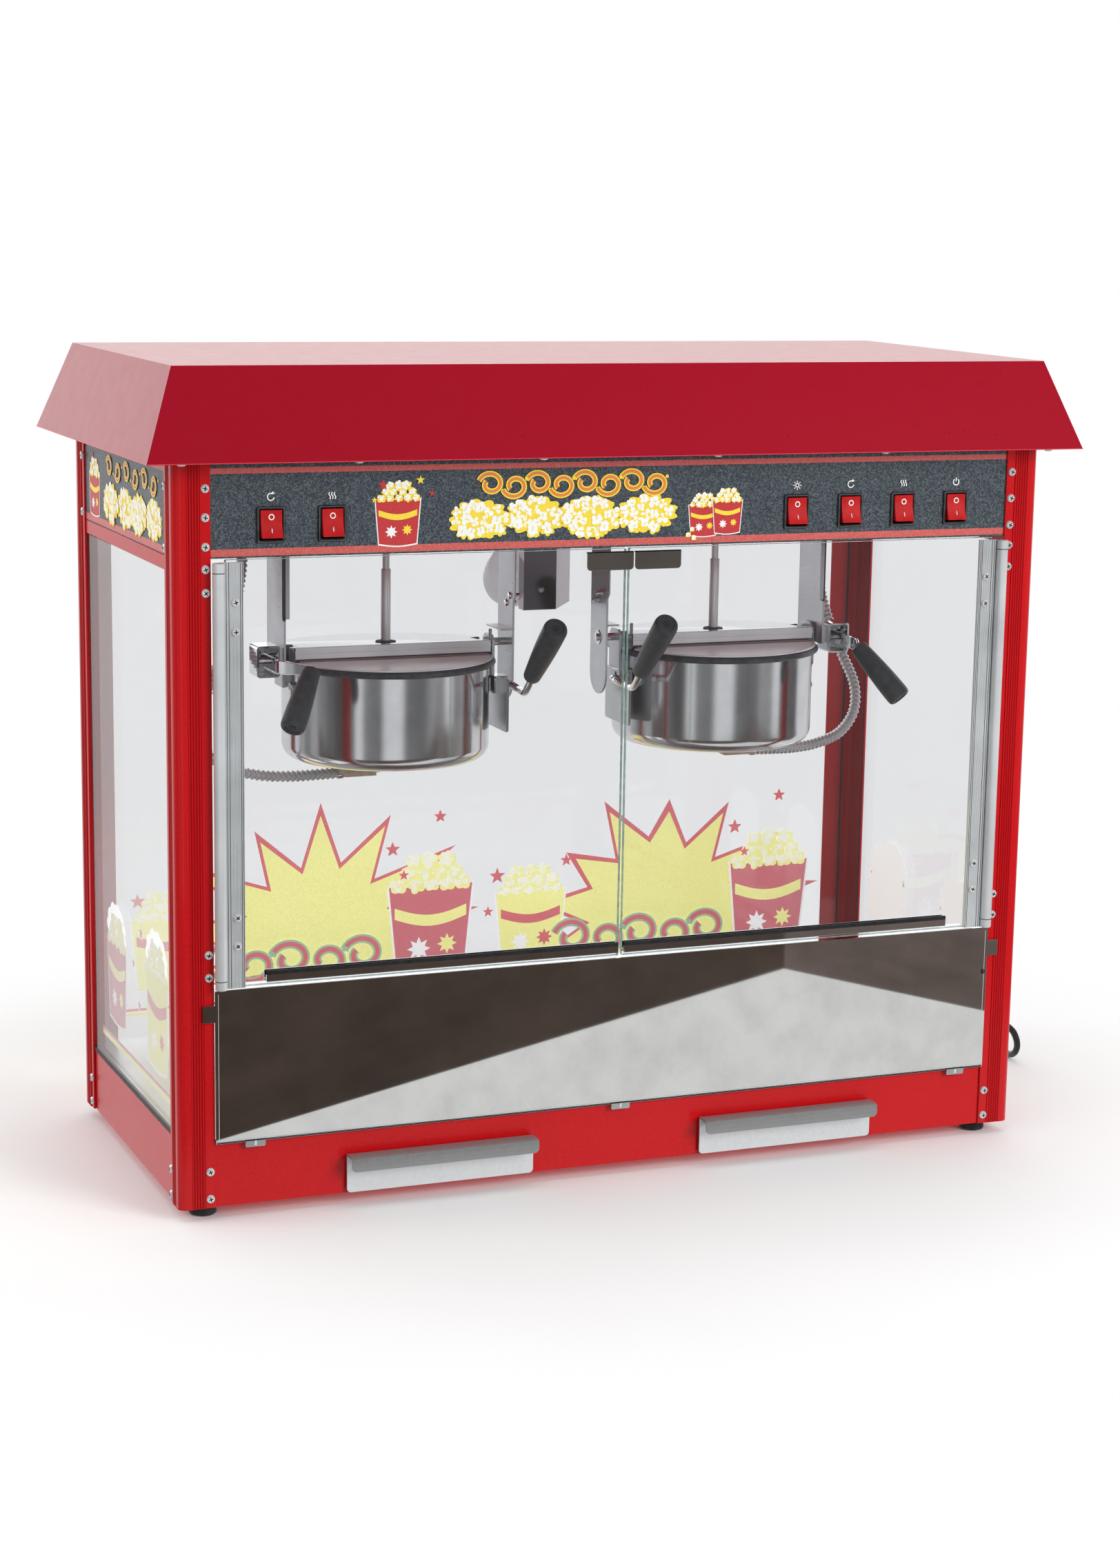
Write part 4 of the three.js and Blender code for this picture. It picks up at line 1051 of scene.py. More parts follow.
def front_print(art):
    """Generic popcorn print of the front fascia: a tub, four heaps under a row of curls, two tubs."""
    for i, cx in enumerate((-145, -91, -38, 19)):
        heap(art, cx, 632 + 2 * (i % 2), 28, 15.5, 7.4, i + 3)
    scrolls(art, -146, 38, 662, 25, CURLS, 8)
    tub(art, -222, 612, 42, 40, RED_TUB, 5)
    art.stars([(-236, 664, 5.2)], "crimson")
    art.stars([(-201, 668, 4.2)], "yellow")
    art.stars([(-190, 656, 3)], "crimson")
    art.stars([(-244, 651, 3)], "yellow")
    tub(art, 76, 612, 30, 28, RED_TUB, 8)
    tub(art, 100, 614, 30, 30, RED_TUB, 9, level=64)
    rng = random.Random(4)
    for x, y in ((60, 613), (66, 610), (64, 618)):
        popped(art, x, y, 3, rng, KERNEL)


def side_print(art, start, span):
    """The same kind of print, squeezed onto a side sign."""
    for i in range(4):
        heap(art, start + span * (0.34 + 0.175 * i), 630, span * 0.092, 16, 7.4, i + 11)
    scrolls(art, start + span * 0.27, start + span * 0.93, 662, 22, CURLS, 6)
    tub(art, start + span * 0.12, 613, span * 0.14, 38, RED_TUB, 15)
    art.stars([(start + span * 0.1, 669, 4.5)], "crimson")


def pictograms(art):
    """Small white signs above the switches: turning arrow, heat, lamp and power."""
    z = 656

    def turning(x):
        art.strip(arc(x, z, 3.1, 60, 350, 16), 1.0, "white")
        art.add([(x + 0.4, z + 2.0), (x + 3.6, z + 2.9), (x + 1.6, z + 4.9)], "white")

    def heat(x):
        for dx in (-2.4, 0, 2.4):
            wave = [(x + dx + 0.7 * math.sin(TAU * t / 12), z - 3 + 6 * t / 12) for t in range(13)]
            art.strip(wave, 0.95, "white")

    def lamp_sign(x):
        art.strip(arc(x, z, 1.7, 0, 360, 16), 0.9, "white")
        for a in (TAU * k / 8 for k in range(8)):
            art.strip([(x + r * math.cos(a), z + r * math.sin(a)) for r in (2.8, 4.3)], 0.8, "white")

    def power(x):
        art.strip(arc(x, z, 3.0, 125, 415, 18), 1.0, "white")
        art.strip([(x, z + 0.6), (x, z + 4.2)], 1.0, "white")
    for i, draw in enumerate((turning, heat, lamp_sign, turning, heat, power), 1):
        draw(joint(f"switch_{i}_rock")["pos_m"][0] / MM)


def fascia_print():
    """Print and switch signs on the front fascia."""
    front = cad("header_fascia")[2]
    art = Art(lambda a, b, lift: (a, front - 0.03 - lift, b), FASCIA_INKS)
    front_print(art)
    pictograms(art)
    art.make("fascia_print")


def side_signs():
    """Sign, print and rail on each side of the header."""
    tray = cad("header_tray")
    for side, s in SIDES:
        x = tray[0] if s < 0 else tray[1]
        sign = Shape()
        sign.box(x, x + s * 0.5, -154, 155, 603.5, 684)
        sign.make(f"side_sign_{side}", ["fascia"], "cabinet", edge=0.15)
        art = Art(lambda a, b, lift, s=s, x=x: (x + s * (0.53 + lift), s * a, b), FASCIA_INKS)
        side_print(art, -150, 300)
        art.make(f"side_print_{side}")
        rail = Shape()
        rail.box(x, x + s * 0.9, -154, 155, 590.6, 603.2)
        rail.make(f"side_rail_{side}", ["red"], "cabinet", edge=0.3)


PALE_KERNEL = ("yellow", "corn", "white")
PALE_RED_TUB = ("tub", "yellow", "white", PALE_KERNEL)
PALE_YELLOW_TUB = ("yellow", "red", "white", PALE_KERNEL)


def burst(art, cx, cy, rx, ry, spikes, seed):
    """Spiky flash with a white and a coloured outline, cut off along the bottom of the print."""
    rng = random.Random(seed)
    art.level = 0
    reach = [(rng.uniform(0.8, 1.12), rng.uniform(0.5, 0.62)) for _ in range(spikes)]
    for finish, grow in (("white", 8), ("red", 7), ("yellow", 0)):
        out = []
        for k, (far, near) in enumerate(reach):
            a = TAU * k / spikes + 0.12
            for scale, extra, at in ((far, grow * 1.9, a), (near, grow, a + math.pi / spikes)):
                x = cx + (rx * scale + extra) * math.cos(at)
                out.append((x, cy + (ry * scale + extra) * math.sin(at)))
        art.add([(x, max(y, PRINT_BOTTOM)) for x, y in out], finish)


def stripes(art, half, yellow_from, red_from):
    """A yellow stripe and a red one below a print, each twice as long as half."""
    for low, high, finish in ((yellow_from, 99.5, "yellow"), (red_from, PRINT_BOTTOM, "red")):
        art.add([(-half, low), (half, low), (half, high), (-half, high)], finish)


def rear_decal():
    """Pale print on the rear glass, the same from the front and from behind."""
    back = cad("rear_glass")[3] + 1.3
    for name, way in (("inside", -1), ("outside", 1)):
        art = Art(lambda a, b, lift, way=way: (a, back + way * lift, b), GLASS_INKS)
        for cx in (-160, 230):
            burst(art, cx - 20, 165, 150, 125, 13, cx + 400)
            tub(art, cx + 100, 118, 92, 92, PALE_RED_TUB, 21, 0.2)
            scrolls(art, cx - 150, cx + 45, 140, 44, ("green", "red"), 5)
            art.stars([(cx + dx, z, r) for dx, z, r in ((58, 250, 8), (70, 222, 6), (110, 282, 7))], "red")
        for cx in (52, -340):
            tub(art, cx, 122, 78, 74, PALE_YELLOW_TUB, 22, 0.18)
        art.stars(((14, 214, 9), (92, 226, 7), (4, 176, 6), (100, 160, 6), (-372, 214, 8)), "red")
        stripes(art, 405, 96, 100.5)
        art.make(f"rear_glass_print_{name}", "pale_")


def side_decals():
    """Pale print on the inner side of the side panes, over a white backing."""
    for side, s in SIDES:
        x0, x1 = cad(f"side_glass_{side}")[:2]
        inner = x1 if s < 0 else x0
        art = Art(lambda a, b, lift, s=s, x=inner: (x - s * (1.6 - lift), s * a, b),
                  GLASS_INKS + ["backing"])
        tub(art, 76, 118, 80, 88, PALE_YELLOW_TUB, 31)
        tub(art, -78, 122, 74, 78, PALE_RED_TUB, 32)
        for spot in ((20, 232, 8), (-10, 196, 6), (12, 160, 7)):
            art.stars([spot], "backing", 1.5)
            art.stars([spot], "red")
        stripes(art, 138, 94, 99.5)
        art.make(f"side_glass_print_{side}", "dull_")


# ---- kettles -----------------------------------------------------------------------------------
LID_R, LID_FRONT = 102.5, -26.0         # radius of a lid, and where its rear half ends


def kettle_space(s):
    """Maps kettle coordinates to the model's frame: +X of a kettle points to the cabinet's middle."""
    ax, ay, az = (c / MM for c in joint(f"kettle_{'left' if s < 0 else 'right'}_tilt")["pos_m"])
    return lambda p: (ax - s * p[0], ay + p[1], az + p[2])


BOWL_R, BOWL_BOTTOM = 99.5, -106.0


def bowl(side, s):
    """Kettle bowl, drawn from one sheet, with its rolled rim painted near-black as a painted dark
    reflection.
    """
    r, wall, top, bottom, corner = BOWL_R, 2.0, -10.0, BOWL_BOTTOM, 14.0
    outer = arc(r - corner, bottom + corner, corner, -90, 0, 14)
    inner = arc(r - corner, bottom + corner + 0.5, corner - wall, 0, -90, 14)
    shape = Shape(kettle_space(s))
    shape.lathe([(0, bottom), (40, bottom)] + outer + [(r, -60), (r, top - 7)], sides=144)
    # The rolled rim takes the near-black finish: painted dark reflection.
    shape.lathe([(r, top - 7), (r + 1.2, top - 6.6)] + arc(r + 3.2, top - 3.2, 2.8, -90, 90, 10)
                + [(r + 1.2, top - 0.1), (r - 1.2, top - 0.05), (r - wall, top - 0.6)], sides=144, finish=1)
    shape.lathe([(r - wall, top - 0.6), (r - wall, -60)] + inner + [(0, bottom + wall + 0.5)], sides=144)
    shape.make(f"kettle_bowl_{side}", ["pot", "rim"], f"kettle_{side}", smooth=40)


def fittings(side, s):
    """Ears, pivots, handle bracket, rivets, heat shield and bottom ring of a kettle."""
    fit = Shape(kettle_space(s))
    ear = [(-13, -34), (13, -34), (13, 3), (8, 8), (-8, 8), (-13, 3)]
    fit.extrude(ear, "x", 103.7, 106.7)
    fit.extrude(ear, "x", -106.6, -103.6)
    for way in (1, -1):
        fit.box(way * 98.6, way * 104.5, -10, 10, -34, -22)
    fit.lathe([(4, 104), (4, 126.2), (3.2, 127)], axis=RIGHT, sides=28, finish=1)
    fit.lathe([(4, 104), (4, 111.8), (3.2, 112.5)], axis=LEFT, sides=28, finish=1)
    fit.box(100, 113.8, -31, -13, -46, -29, 1)
    for z in (-33.5, -41.5):
        fit.lathe([(2.6, 0), (2.6, 0.6), (1.4, 0.9), (0, 0.9)], (113.2, -22, z), RIGHT, 20, 2)
    fit.extrude(rounded(-46, 14, -82, -30, 3, 4, (1, 1, 0, 0)), "x", 107, 109.5, 3)
    rivet = [(4.6, 0), (4.6, 0.7), (4.0, 2.2), (2.2, 3.2), (0, 3.4)]
    for z in (-32, -54):
        fit.lathe(rivet, (0.2 - BOWL_R, -18, z), (-1, -0.18, 0), 28, 1)
    ring = [(60, BOWL_BOTTOM - 2.6), (62, BOWL_BOTTOM - 2), (62, BOWL_BOTTOM + 0.2)]
    fit.lathe(ring, sides=96, finish=3)
    fit.make(f"kettle_fittings_{side}", ["zinc", "chrome", "seam", "brushed"], f"kettle_{side}",
             f"pot_{side}", edge=0.3)


def terminal_block(side, s):
    """Ceramic block under a kettle, where the conduit's wires end."""
    block = Shape(kettle_space(s))
    block.extrude(rounded(-48, -8, -14, 14, 3, 4), "z", -120, -108.6)
    block.box(-44, -12, -10, 10, -124, -119.6)
    block.lathe([(4.2, -50), (6.2, -49), (6.2, -44), (5, -42)], (0, 0, -121), RIGHT, 20, 1)
    for x in (-36, -20):
        block.lathe([(2.4, -124.6), (2.4, -123.4)], (x, -5, 0), sides=18, finish=2)
    block.make(f"terminal_block_{side}", ["ceramic", "chrome", "brushed"], f"kettle_{side}", edge=0.6)


def lid_height(y):
    """The rear lid slopes slightly down towards the back."""
    return 5.5 - 0.06 * (y - LID_FRONT)


def lid(side, s):
    """Fixed rear half of a lid, with its front bar and bush."""
    r, front = LID_R, LID_FRONT
    a = math.degrees(math.asin(front / r))
    ear, beside_ear = 15, 90.8
    edge = [(math.copysign(min(abs(x), beside_ear), x), y) if abs(y) < ear else (x, y)
            for x, y in arc(0, 0, r, a, 180 - a, 72)]
    skin = ((0.985, 0.0, True), (0.994, -0.5, True), (1.0, -1.6, True), (1.0, -9.7, False),
            (0.982, -9.7, False), (0.975, -1.6, True))
    rings = []
    for k, low, follow in skin:
        limit = front + 2 * (k < 0.983) + 0.4
        rings.append([(x * k, max(y * k, limit), low + lid_height(y) * follow) for x, y in edge])
    shape = Shape(kettle_space(s))
    shape.loft(rings)
    shape.lathe([(4.4, 1.6), (9.5, 1.6), (10.2, 3.6), (9.6, 5.1), (7.4, 5.4), (5.2, 5.1), (4.4, 4.4),
                 (4.4, 1.6)], finish=2)
    bar = [(front, 5.2), (front + 2.2, 5.4), (front + 6, 4.4), (front + 6, 3.6), (front + 2, 3.8),
           (front + 1.4, 3.0), (front + 1.2, -5.2), (front, -5.6)]
    line = [(front - 0.02, 1.8), (front - 0.35, 1.4), (front - 0.35, -0.4), (front - 0.02, -0.8)]
    half = r * math.cos(math.radians(a)) - 1.2
    for section in (bar, line):
        shape.extrude(section, "x", -half, half, 1)
    for way in (-1, 1):
        shape.box(way * (half - 0.4), way * half, front, front + 6, -5.4, 5, 1)
    shape.make(f"lid_back_{side}", ["lid", "alu", "seam"], f"kettle_{side}", f"lid_rear_{side}",
               smooth=35)


def lid_pin(side, s):
    """Pin that a lid is held by, beside its pivot."""
    pin = Shape(kettle_space(s))
    pin.lathe([(1.6, -2), (1.6, 15.4), (1.2, 16)], (98.2, -22.5, 0), sides=16)
    pin.make(f"lid_pin_{side}", ["brushed"], f"kettle_{side}")


def lid_flap(side, s):
    """Front half of a lid, which folds up about the tube along its straight edge."""
    hinge_y, z = LID_FRONT - 4.4, -9.7
    b = math.degrees(math.asin(-(hinge_y + 0.4) / LID_R))
    rim = arc(0, 0, LID_R, 180 + b, 360 - b, 72)
    shape = Shape(kettle_space(s))
    shape.loft([[(x * k, min(y * k, hinge_y + 0.4), z + h) for x, y in rim]
                for k, h in ((1.0, 0.0), (1.0, 1.0), (0.994, 1.55), (0.985, 1.6))])
    half = LID_R * math.cos(math.radians(b)) - 3
    tube = [(1.3, -half), (1.5, -half + 0.4), (1.5, half - 0.4), (1.3, half)]
    shape.lathe(tube, (0, hinge_y, z + 1.6), RIGHT, 20, 1)
    shape.make(f"lid_front_{side}", ["alu", "brushed"], f"lid_flap_{side}", f"lid_flap_{side}", smooth=35)


def grip(shape, start, end):
    """Moulded grip, slimmer at the rod's end, with a rounded tip and a dark end cap."""
    slim, thick = 8.4, 11.6
    a, b = Vector(start), Vector(end)
    length = (b - a).length
    body = [(slim + (thick - slim) * math.sin(t / 12 * math.pi / 2), 2.0 + (length - 8.0) * t / 12)
            for t in range(13)]
    tip = [(0.985, 3.2), (0.93, 1.2), (0.82, 0), (0.66, 0), (0.62, 1.4)]
    shape.lathe([(0, 0), (slim * 0.7, 0), (slim * 0.93, 0.6)] + body
                + [(thick * k, length - back) for k, back in tip] + [(0, length - 1.8)],
                start, tuple(b - a), 44)
    cap = a + (b - a).normalized() * (length - 1.75)
    shape.lathe([(thick * 0.30, 0), (thick * 0.30, 0.8), (0, 1.0)], tuple(cap), tuple(b - a), 24, 2)


def crank(side, s):
    """Tipping handle: a bent rod, threaded where it enters the bracket, and its grip."""
    shape = Shape(kettle_space(s))
    path = smooth_path([(114.1, -22, -38), (117.2, -23, -38), (118, -30, -38.3), (116.6, -58, -39.6),
                        (116, -70, -39.6), (116, -78, -34), (116, -92, -19)], 10)
    fine = even_path(path, 0.8)
    threaded = 42
    radii = [3.4 + (0.18 if i % 2 else -0.12) if i < threaded else 3.45 for i in range(len(fine))]
    shape.tube(fine, radii, 20, 1)
    grip(shape, (116, -88, -22), (116, -150, 34))
    shape.lathe([(4.5, -1.4), (5.4, -1.0), (5.4, 0.2)], (116, -88.6, -21.5), (0, 62, -56), 6, 1)
    shape.make(f"crank_{side}", ["grip", "chrome", "seam"], f"kettle_{side}", f"crank_handle_{side}",
               smooth=40)


def latch(side, s):
    """Latch lever: a flat bar on edge that narrows towards its grip."""
    shape = Shape(kettle_space(s))
    tip, end = (-107, -108, -3), (-137, -144, -50)
    line = smooth_path([(-125.2, -15, -6), (-124.4, -36, -6), (-123, -64, -6), (-117.5, -84, -4.6), tip], 10)
    section = ((-1, -0.92), (-0.6, -1), (0.6, -1), (1, -0.92), (1, 0.92), (0.6, 1), (-0.6, 1), (-1, 0.92))
    straight, tall, narrowing = 0.62, 6.2, 2.4
    rings = []
    for i, p in enumerate(line):
        ahead = line[min(i + 1, len(line) - 1)] - line[max(i - 1, 0)]
        flat = Vector((ahead.y, -ahead.x, 0)).normalized() * 1.4
        way = max(0.0, (i / len(line) - straight) / (1 - straight))
        up = Vector((0, 0, tall - narrowing * way))
        rings.append([tuple(p + flat * a + up * b) for a, b in section])
    shape.loft(rings, 1)
    shape.lathe([(0, -8.3), (2.6, -8.3), (3, -7.9), (3, 7.9), (2.6, 8.3), (0, 8.3)], (-125.2, -20, -6),
                RIGHT, 24, 1)
    grip(shape, tip, end)
    shape.make(f"latch_{side}", ["grip", "chrome", "seam"], f"latch_{side}", f"latch_lever_{side}",
               smooth=40)


BOLT = [(4, 0), (4, 3), (0, 3.2)]       # profile of a bolt's head
HANGER_TOP = 110.7                      # under the header's floor


def outer_hanger(side, s):
    """Folded bracket on the outer side of a kettle, with the box that the latch lever works in."""
    top = HANGER_TOP
    shape = Shape(kettle_space(s))
    shape.box(-109.5, -107.5, -28, 28, -12, top)
    shape.extrude([(-28, 31), (-24, 31), (-22.4, 33), (-22.4, top), (-28, top)], "x", -109.5, -107.5)
    shape.box(-109.5, -103.7, -28, -26, 33, top - 0.5)
    shape.box(-123.5, -101.6, -28, 28, top - 1.8, top)
    for y in (-18, 18):
        shape.lathe(BOLT, (-117, y, top - 1.8), DOWN, 6, 1)
    shape.box(-114.6, -108.5, -26, -8, -11, 6)
    outer = rounded(-136.5, -114, -21, 9, 3.2)
    inner = rounded(-134.4, -116.1, -18.9, 6.9, 1.6)
    shape.loft([[(x, y, z) for x, z in ring] for y, ring in ((-5, outer), (-31, outer), (-31, inner),
                                                             (-7.5, inner))], 1)
    shape.lathe([(4.4, 0), (4.4, 3.0), (3.8, 3.4), (0, 3.4)], (-125.2, -8, -6), FRONT, 6, 1)
    shape.make(f"outer_hanger_{side}", ["zinc", "chrome"], "cabinet", f"hanger_outer_{side}", edge=0.3)


def inner_hanger(side, s):
    """Plain plate that holds the inner pivot of a kettle."""
    top = HANGER_TOP
    plate = Shape(kettle_space(s))
    outline = [(-20, top), (-20, -36)] + arc(0, -36, 20, 180, 360, 24) + [(20, -36), (20, top)]
    plate.extrude(outline, "x", 122, 124)
    plate.box(122, 136, -20, 20, top - 1.8, top)
    plate.box(110, 123, -20, 20, 13, 14.8)
    plate.extrude([(-20, 40), (-24.5, 46), (-24.5, top - 4), (-20, top)], "x", 122, 123.6)
    for y, z in ((-12, 46), (-3, 38)):
        plate.lathe([(3.6, 0), (3.6, 0.6), (2.8, 1.8), (0, 2.2)], (122.2, y, z), LEFT, 24, 1)
        plate.lathe([(4.2, 0), (4.2, 3.0), (3.6, 3.4)], (123.8, y, z), RIGHT, 6, 1)
        plate.lathe([(2.3, 0), (2.3, 7.5), (1.8, 8)], (123.8, y, z), RIGHT, 20, 1)
    for y in (-12, 12):
        plate.lathe(BOLT, (131, y, top - 1.8), DOWN, 6, 1)
    plate.lathe([(7.2, 0), (7.2, 0.9), (5, 0.9)], (124, 0, 0), RIGHT, 32, 1)
    plate.make(f"inner_hanger_{side}", ["zinc", "chrome"], "cabinet", f"hanger_inner_{side}", edge=0.3)


def drive_axis(side):
    """Centre line of a drive, which its rod and sleeve share."""
    x0, x1, y0, y1 = cad(f"drive_sleeve_{side}")[:4]
    return (x0 + x1) / 2, (y0 + y1) / 2, 0


def sleeve(side):
    """Sleeve that slides on the drive rod."""
    z0, z1 = cad(f"drive_sleeve_{side}")[4:]
    centre = drive_axis(side)
    shape = Shape()
    shape.lathe([(3.7, z0), (4.5, z0), (4.7, z0 + 0.4), (4.7, z1 - 0.4), (4.5, z1), (3.7, z1)], centre,
                sides=40, wrap=True)
    shape.make(f"sleeve_tube_{side}", ["rod"], f"sleeve_{side}", f"drive_sleeve_{side}", smooth=40)


def rod(side):
    """Drive rod that comes down from the header."""
    z0, z1 = cad(f"drive_rod_{side}")[4:]
    shape = Shape()
    shape.lathe([(0, z0), (2.8, z0), (3.4, z0 + 0.6), (3.4, z1), (0, z1)], drive_axis(side), sides=32)
    shape.make(f"rod_bar_{side}", ["rod"], f"drive_{side}", f"drive_rod_{side}", smooth=40)


def conduit(side, s):
    """Corrugated steel hose."""
    route = [(-46, 0, -121), (-66, 2, -122), (-92, 6, -123), (-124, 12, -121), (-156, 20, -112),
             (-174, 26, -92), (-176, 30, -66), (-164, 34, -36), (-150, 38, -4), (-138, 40, 34),
             (-131, 40, 72), (-129, 40, 110.5)]
    line = even_path(smooth_path(route, 10), 0.8)
    wave = (4.2, 4.7, 5.5, 5.7, 5.5, 4.7)
    shape = Shape(kettle_space(s))
    shape.tube(line, [wave[i % len(wave)] for i in range(len(line))], 16)
    shape.lathe([(6.4, 0), (6.9, 0.5), (6.9, 7.5), (6.2, 8)], (-129, 40, 101.5), sides=6, finish=1)
    shape.make(f"flexible_conduit_{side}", ["hose", "chrome"], "cabinet", f"conduit_{side}", smooth=75)


def lamp():
    """Lamp globe, its holder and filament."""
    x0, x1, y0, y1, z0, z1 = cad("lamp_bulb")
    cx, cy = (x0 + x1) / 2, (y0 + y1) / 2
    outline = [(0, 0), (6, 0.7), (10, 2), (15, 4.2), (19, 7), (22.6, 11), (25.5, 16), (27.4, 22), (28, 28),
               (27.6, 33), (26.5, 38), (24.4, 43.6), (21, 49), (18, 54), (15, 59), (13.9, 64), (13.5, 69)]
    glass = Shape()
    glass.lathe([(r, z0 + h) for r, h in outline], (cx, cy, 0), sides=56)
    glass.make("lamp_globe", ["bulb"], "cabinet", "lamp_bulb")
    cap = Shape()
    cap.lathe([(13.4, z0 + 68.4), (17, z0 + 70), (17, z1 - 0.6), (16, z1), (0, z1)], (cx, cy, 0), sides=48)
    stem = [(3, 26), (3.4, 28), (2.2, 56), (6, 66)]
    cap.lathe([(r, z0 + h) for r, h in stem], (cx, cy, 0), sides=24, finish=1)
    filament = [(-6, 0, 34), (-2, 3, 37), (3, -2, 35), (6, 1, 37)]
    cap.tube([(cx + x, cy + y, z0 + h) for x, y, h in filament], 0.5, 8, 1)
    cap.make("lamp_holder", ["ceramic", "chrome"], "cabinet", smooth=40)


def reflector():
    """Folded steel sheet in front of the lamp; its dark plum tint is painted reflection."""
    z0, z1 = cad("lamp_shield")[4:]
    shield = Shape()
    line = [(-28, 22), (-28, 8), (6, 8), (41, 60)]
    back = [(39.6, 60.8), (5.2, 9.6), (-26.4, 9.6), (-26.4, 22)]
    shield.extrude(line + back, "z", z0, z1)
    shield.box(-27.6, 5.4, 8.1, 9.5, z0, z0 + 1.2, 1)
    for z in (540, 580):
        pan_head(shield, (-10, 8, z), FRONT, 3.2, 1, 1)
    shield.make("lamp_reflector", ["shield", "brushed"], "cabinet", "lamp_shield", edge=0.25)


# ---- studio ------------------------------------------------------------------------------------
def stage_piece(name, points, faces, material, *hidden_from):
    """A piece of the studio that isn't part of the object, unseen by some kinds of ray."""
    piece = new_object(name, points, faces, material)
    for kind in hidden_from:
        setattr(piece, f"visible_{kind}", False)


def floor():
    """White floor that takes a soft shadow near the cabinet and fades into the background."""
    g = Graph("studio_floor", roughness=0.8, specular_ior_level=0.1)
    g.colour(g.ramp(g.noise(2, 2), [(0.3, (0.90, 0.90, 0.90)), (0.7, (0.93, 0.93, 0.93))]))
    away = g.node("VectorMath", {0: g.stretched(0.85, 1, 1)}, operation="LENGTH").outputs["Value"]
    fade = g.span(away, 0.44, 0.85, interpolation_type="SMOOTHSTEP")
    backdrop = g.node("Emission", {"Color": WHITE, "Strength": 1.0})
    g.show(g.blend(fade, g.shader.outputs[0], backdrop.outputs[0]))
    r = 14
    stage_piece("studio_floor", [(-r, -r, 0), (r, -r, 0), (r, r, 0), (-r, r, 0)], [(0, 1, 2, 3)],
                g.material, "glossy", "diffuse")


def card(name, corners, colour, spread):
    """Studio card that only mirrors show, as a photographer lays beside polished metal."""
    g = Graph(name, roughness=0.9, base_color=(0.0, 0.0, 0.0), emission_strength=1.0)
    dark, light = (tuple(c * (1 + way * spread) for c in colour) for way in (-1, 1))
    shade = g.ramp(g.noise(3, 4, 0.6, g.stretched(1, 1, 4)), [(0.3, dark), (0.7, light)])
    g.link(shade, g.shader.inputs["Emission Color"])
    stage_piece(name, corners, [tuple(range(len(corners)))], g.material, "camera", "diffuse", "shadow",
                "transmission")


def table_cards():
    """A white table top and the dark wall behind it, which the steel front of the sill mirrors."""
    corner, left, right = (0.5, -0.857), (-1.3, 0.10), (0.95, -0.02)
    top = [left, corner, right, (0.45, -0.19), (-0.45, -0.19)]
    card("card_table", [(x, y, 0.0012) for x, y in top], (0.74, 0.745, 0.735), 0.02)
    walls = (("card_wall_left", left, corner, (0.052, 0.035, 0.026)),
             ("card_wall_right", corner, right, (0.125, 0.096, 0.084)))
    low, high = 0.002, 0.26
    for name, a, b, colour in walls:
        card(name, [(*a, low), (*b, low), (*b, high), (*a, high)], colour, 0.35)


def area_light(name, at, target, size, power, colour=(1, 1, 1)):
    """Rectangular light aimed at a point, which mirrors don't show."""
    data = bpy.data.lights.new(name, "AREA")
    data.shape = "RECTANGLE"
    data.size, data.size_y = size
    data.energy = power
    data.color = colour
    light = bpy.data.objects.new(name, data)
    scene.collection.objects.link(light)
    light.location = at
    light.visible_glossy = False
    light.rotation_euler = (Vector(target) - Vector(at)).to_track_quat("-Z", "Y").to_euler()


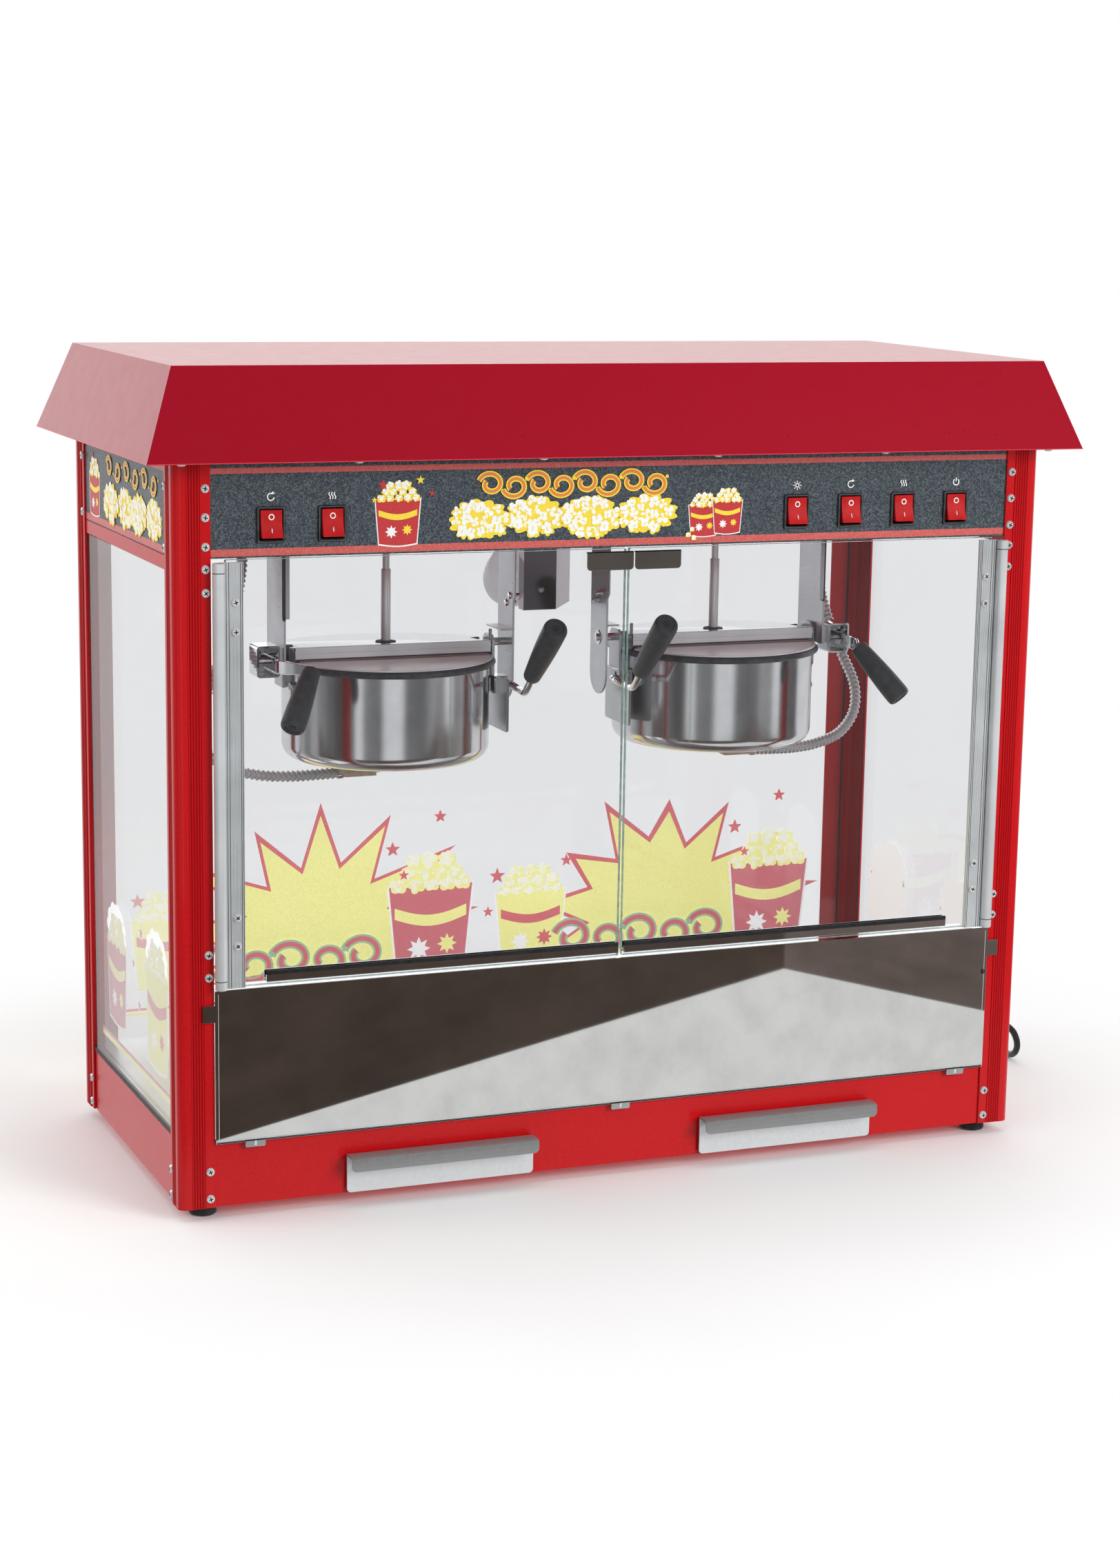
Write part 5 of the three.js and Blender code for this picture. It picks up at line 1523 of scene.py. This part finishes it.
# Brightness of the surround that mirrors show, by direction: 0.25 is towards the operator, 0.5 to
# the right, 0.75 behind the cabinet and 0 or 1 to the left.
BANDS = [(0.0, 0.22), (0.02, 0.13), (0.052, 0.05), (0.088, 0.05), (0.117, 0.85), (0.142, 0.2),
         (0.178, 0.16), (0.205, 0.8), (0.238, 0.95), (0.268, 0.16), (0.315, 0.13), (0.35, 0.32),
         (0.378, 0.3), (0.405, 0.95), (0.435, 0.13), (0.495, 0.10), (0.53, 1.4), (0.575, 1.5),
         (0.605, 0.6), (0.65, 1.5), (0.76, 1.6), (0.815, 1.7), (0.86, 0.9), (0.9, 0.45), (0.93, 0.17),
         (0.965, 0.4), (1.0, 0.22)]
FILL_FRONT, FILL_REAR = 0.52, 1.3       # light on matt surfaces from the operator's side and behind


def studio():
    """White for the camera, an even fill for matt surfaces, and bright and dark bands for mirrors."""
    world = bpy.data.worlds.new("studio")
    scene.world = world
    world.use_nodes = True
    g = Nodes(world.node_tree)
    x, y, z = g.node("SeparateXYZ", {0: g.node("TexCoord").outputs["Generated"]}).outputs
    around = g.math("ADD", g.math("DIVIDE", g.math("ARCTAN2", y, x), TAU), 0.5)
    bands = g.ramp(around, [(at, (value, value, value * 1.01)) for at, value in BANDS], "EASE")
    ceiling = g.span(y, -0.2, 0.7, 0.10, 1.7)
    limit = g.span(z, -0.12, 0.02, 0.8, 2.0)
    mirrored = g.mix(g.span(z, 0.2, 0.6), g.math("MINIMUM", bands, limit), ceiling)

    def background(colour, strength):
        return g.node("Background", {0: colour, 1: strength}).outputs[0]
    seen = g.node("LightPath").outputs
    fill = background(WHITE, g.span(y, 0.1, 0.7, FILL_FRONT, FILL_REAR))
    matt = g.blend(seen["Is Glossy Ray"], fill, background(mirrored, 1.0))
    g.node("OutputWorld", {0: g.blend(seen["Is Camera Ray"], matt, background(WHITE, 1.0))})


def lights():
    """A large soft key from the front right, a window on the left and a weak light from above."""
    area_light("key", (1.6, -3.2, 1.5), (0, 0, 0.35), (1.8, 1.8), 95)
    area_light("window", (-3.0, 0.4, 1.6), (0, 0, 0.45), (1.6, 2.2), 34, (1, 0.98, 0.97))
    area_light("top", (0, -0.6, 3.0), (0, 0, 0), (2.2, 1.4), 12)


FINISH = make_finishes()
make_camera()
lead()
restyle()
roof_hem()
posts()
screws()
feet()
sill()
sill_clips()
drawers()
glazing()
gaskets()
doors()
rockers()
fascia_print()
side_signs()
rear_decal()
side_decals()
for side, s in SIDES:
    for build in (bowl, fittings, terminal_block, lid, lid_pin, lid_flap, crank, latch, outer_hanger,
                  inner_hanger):
        build(side, s)
    sleeve(side)
    rod(side)
    conduit(side, s)
lamp()
reflector()
floor()
table_cards()
studio()
lights()
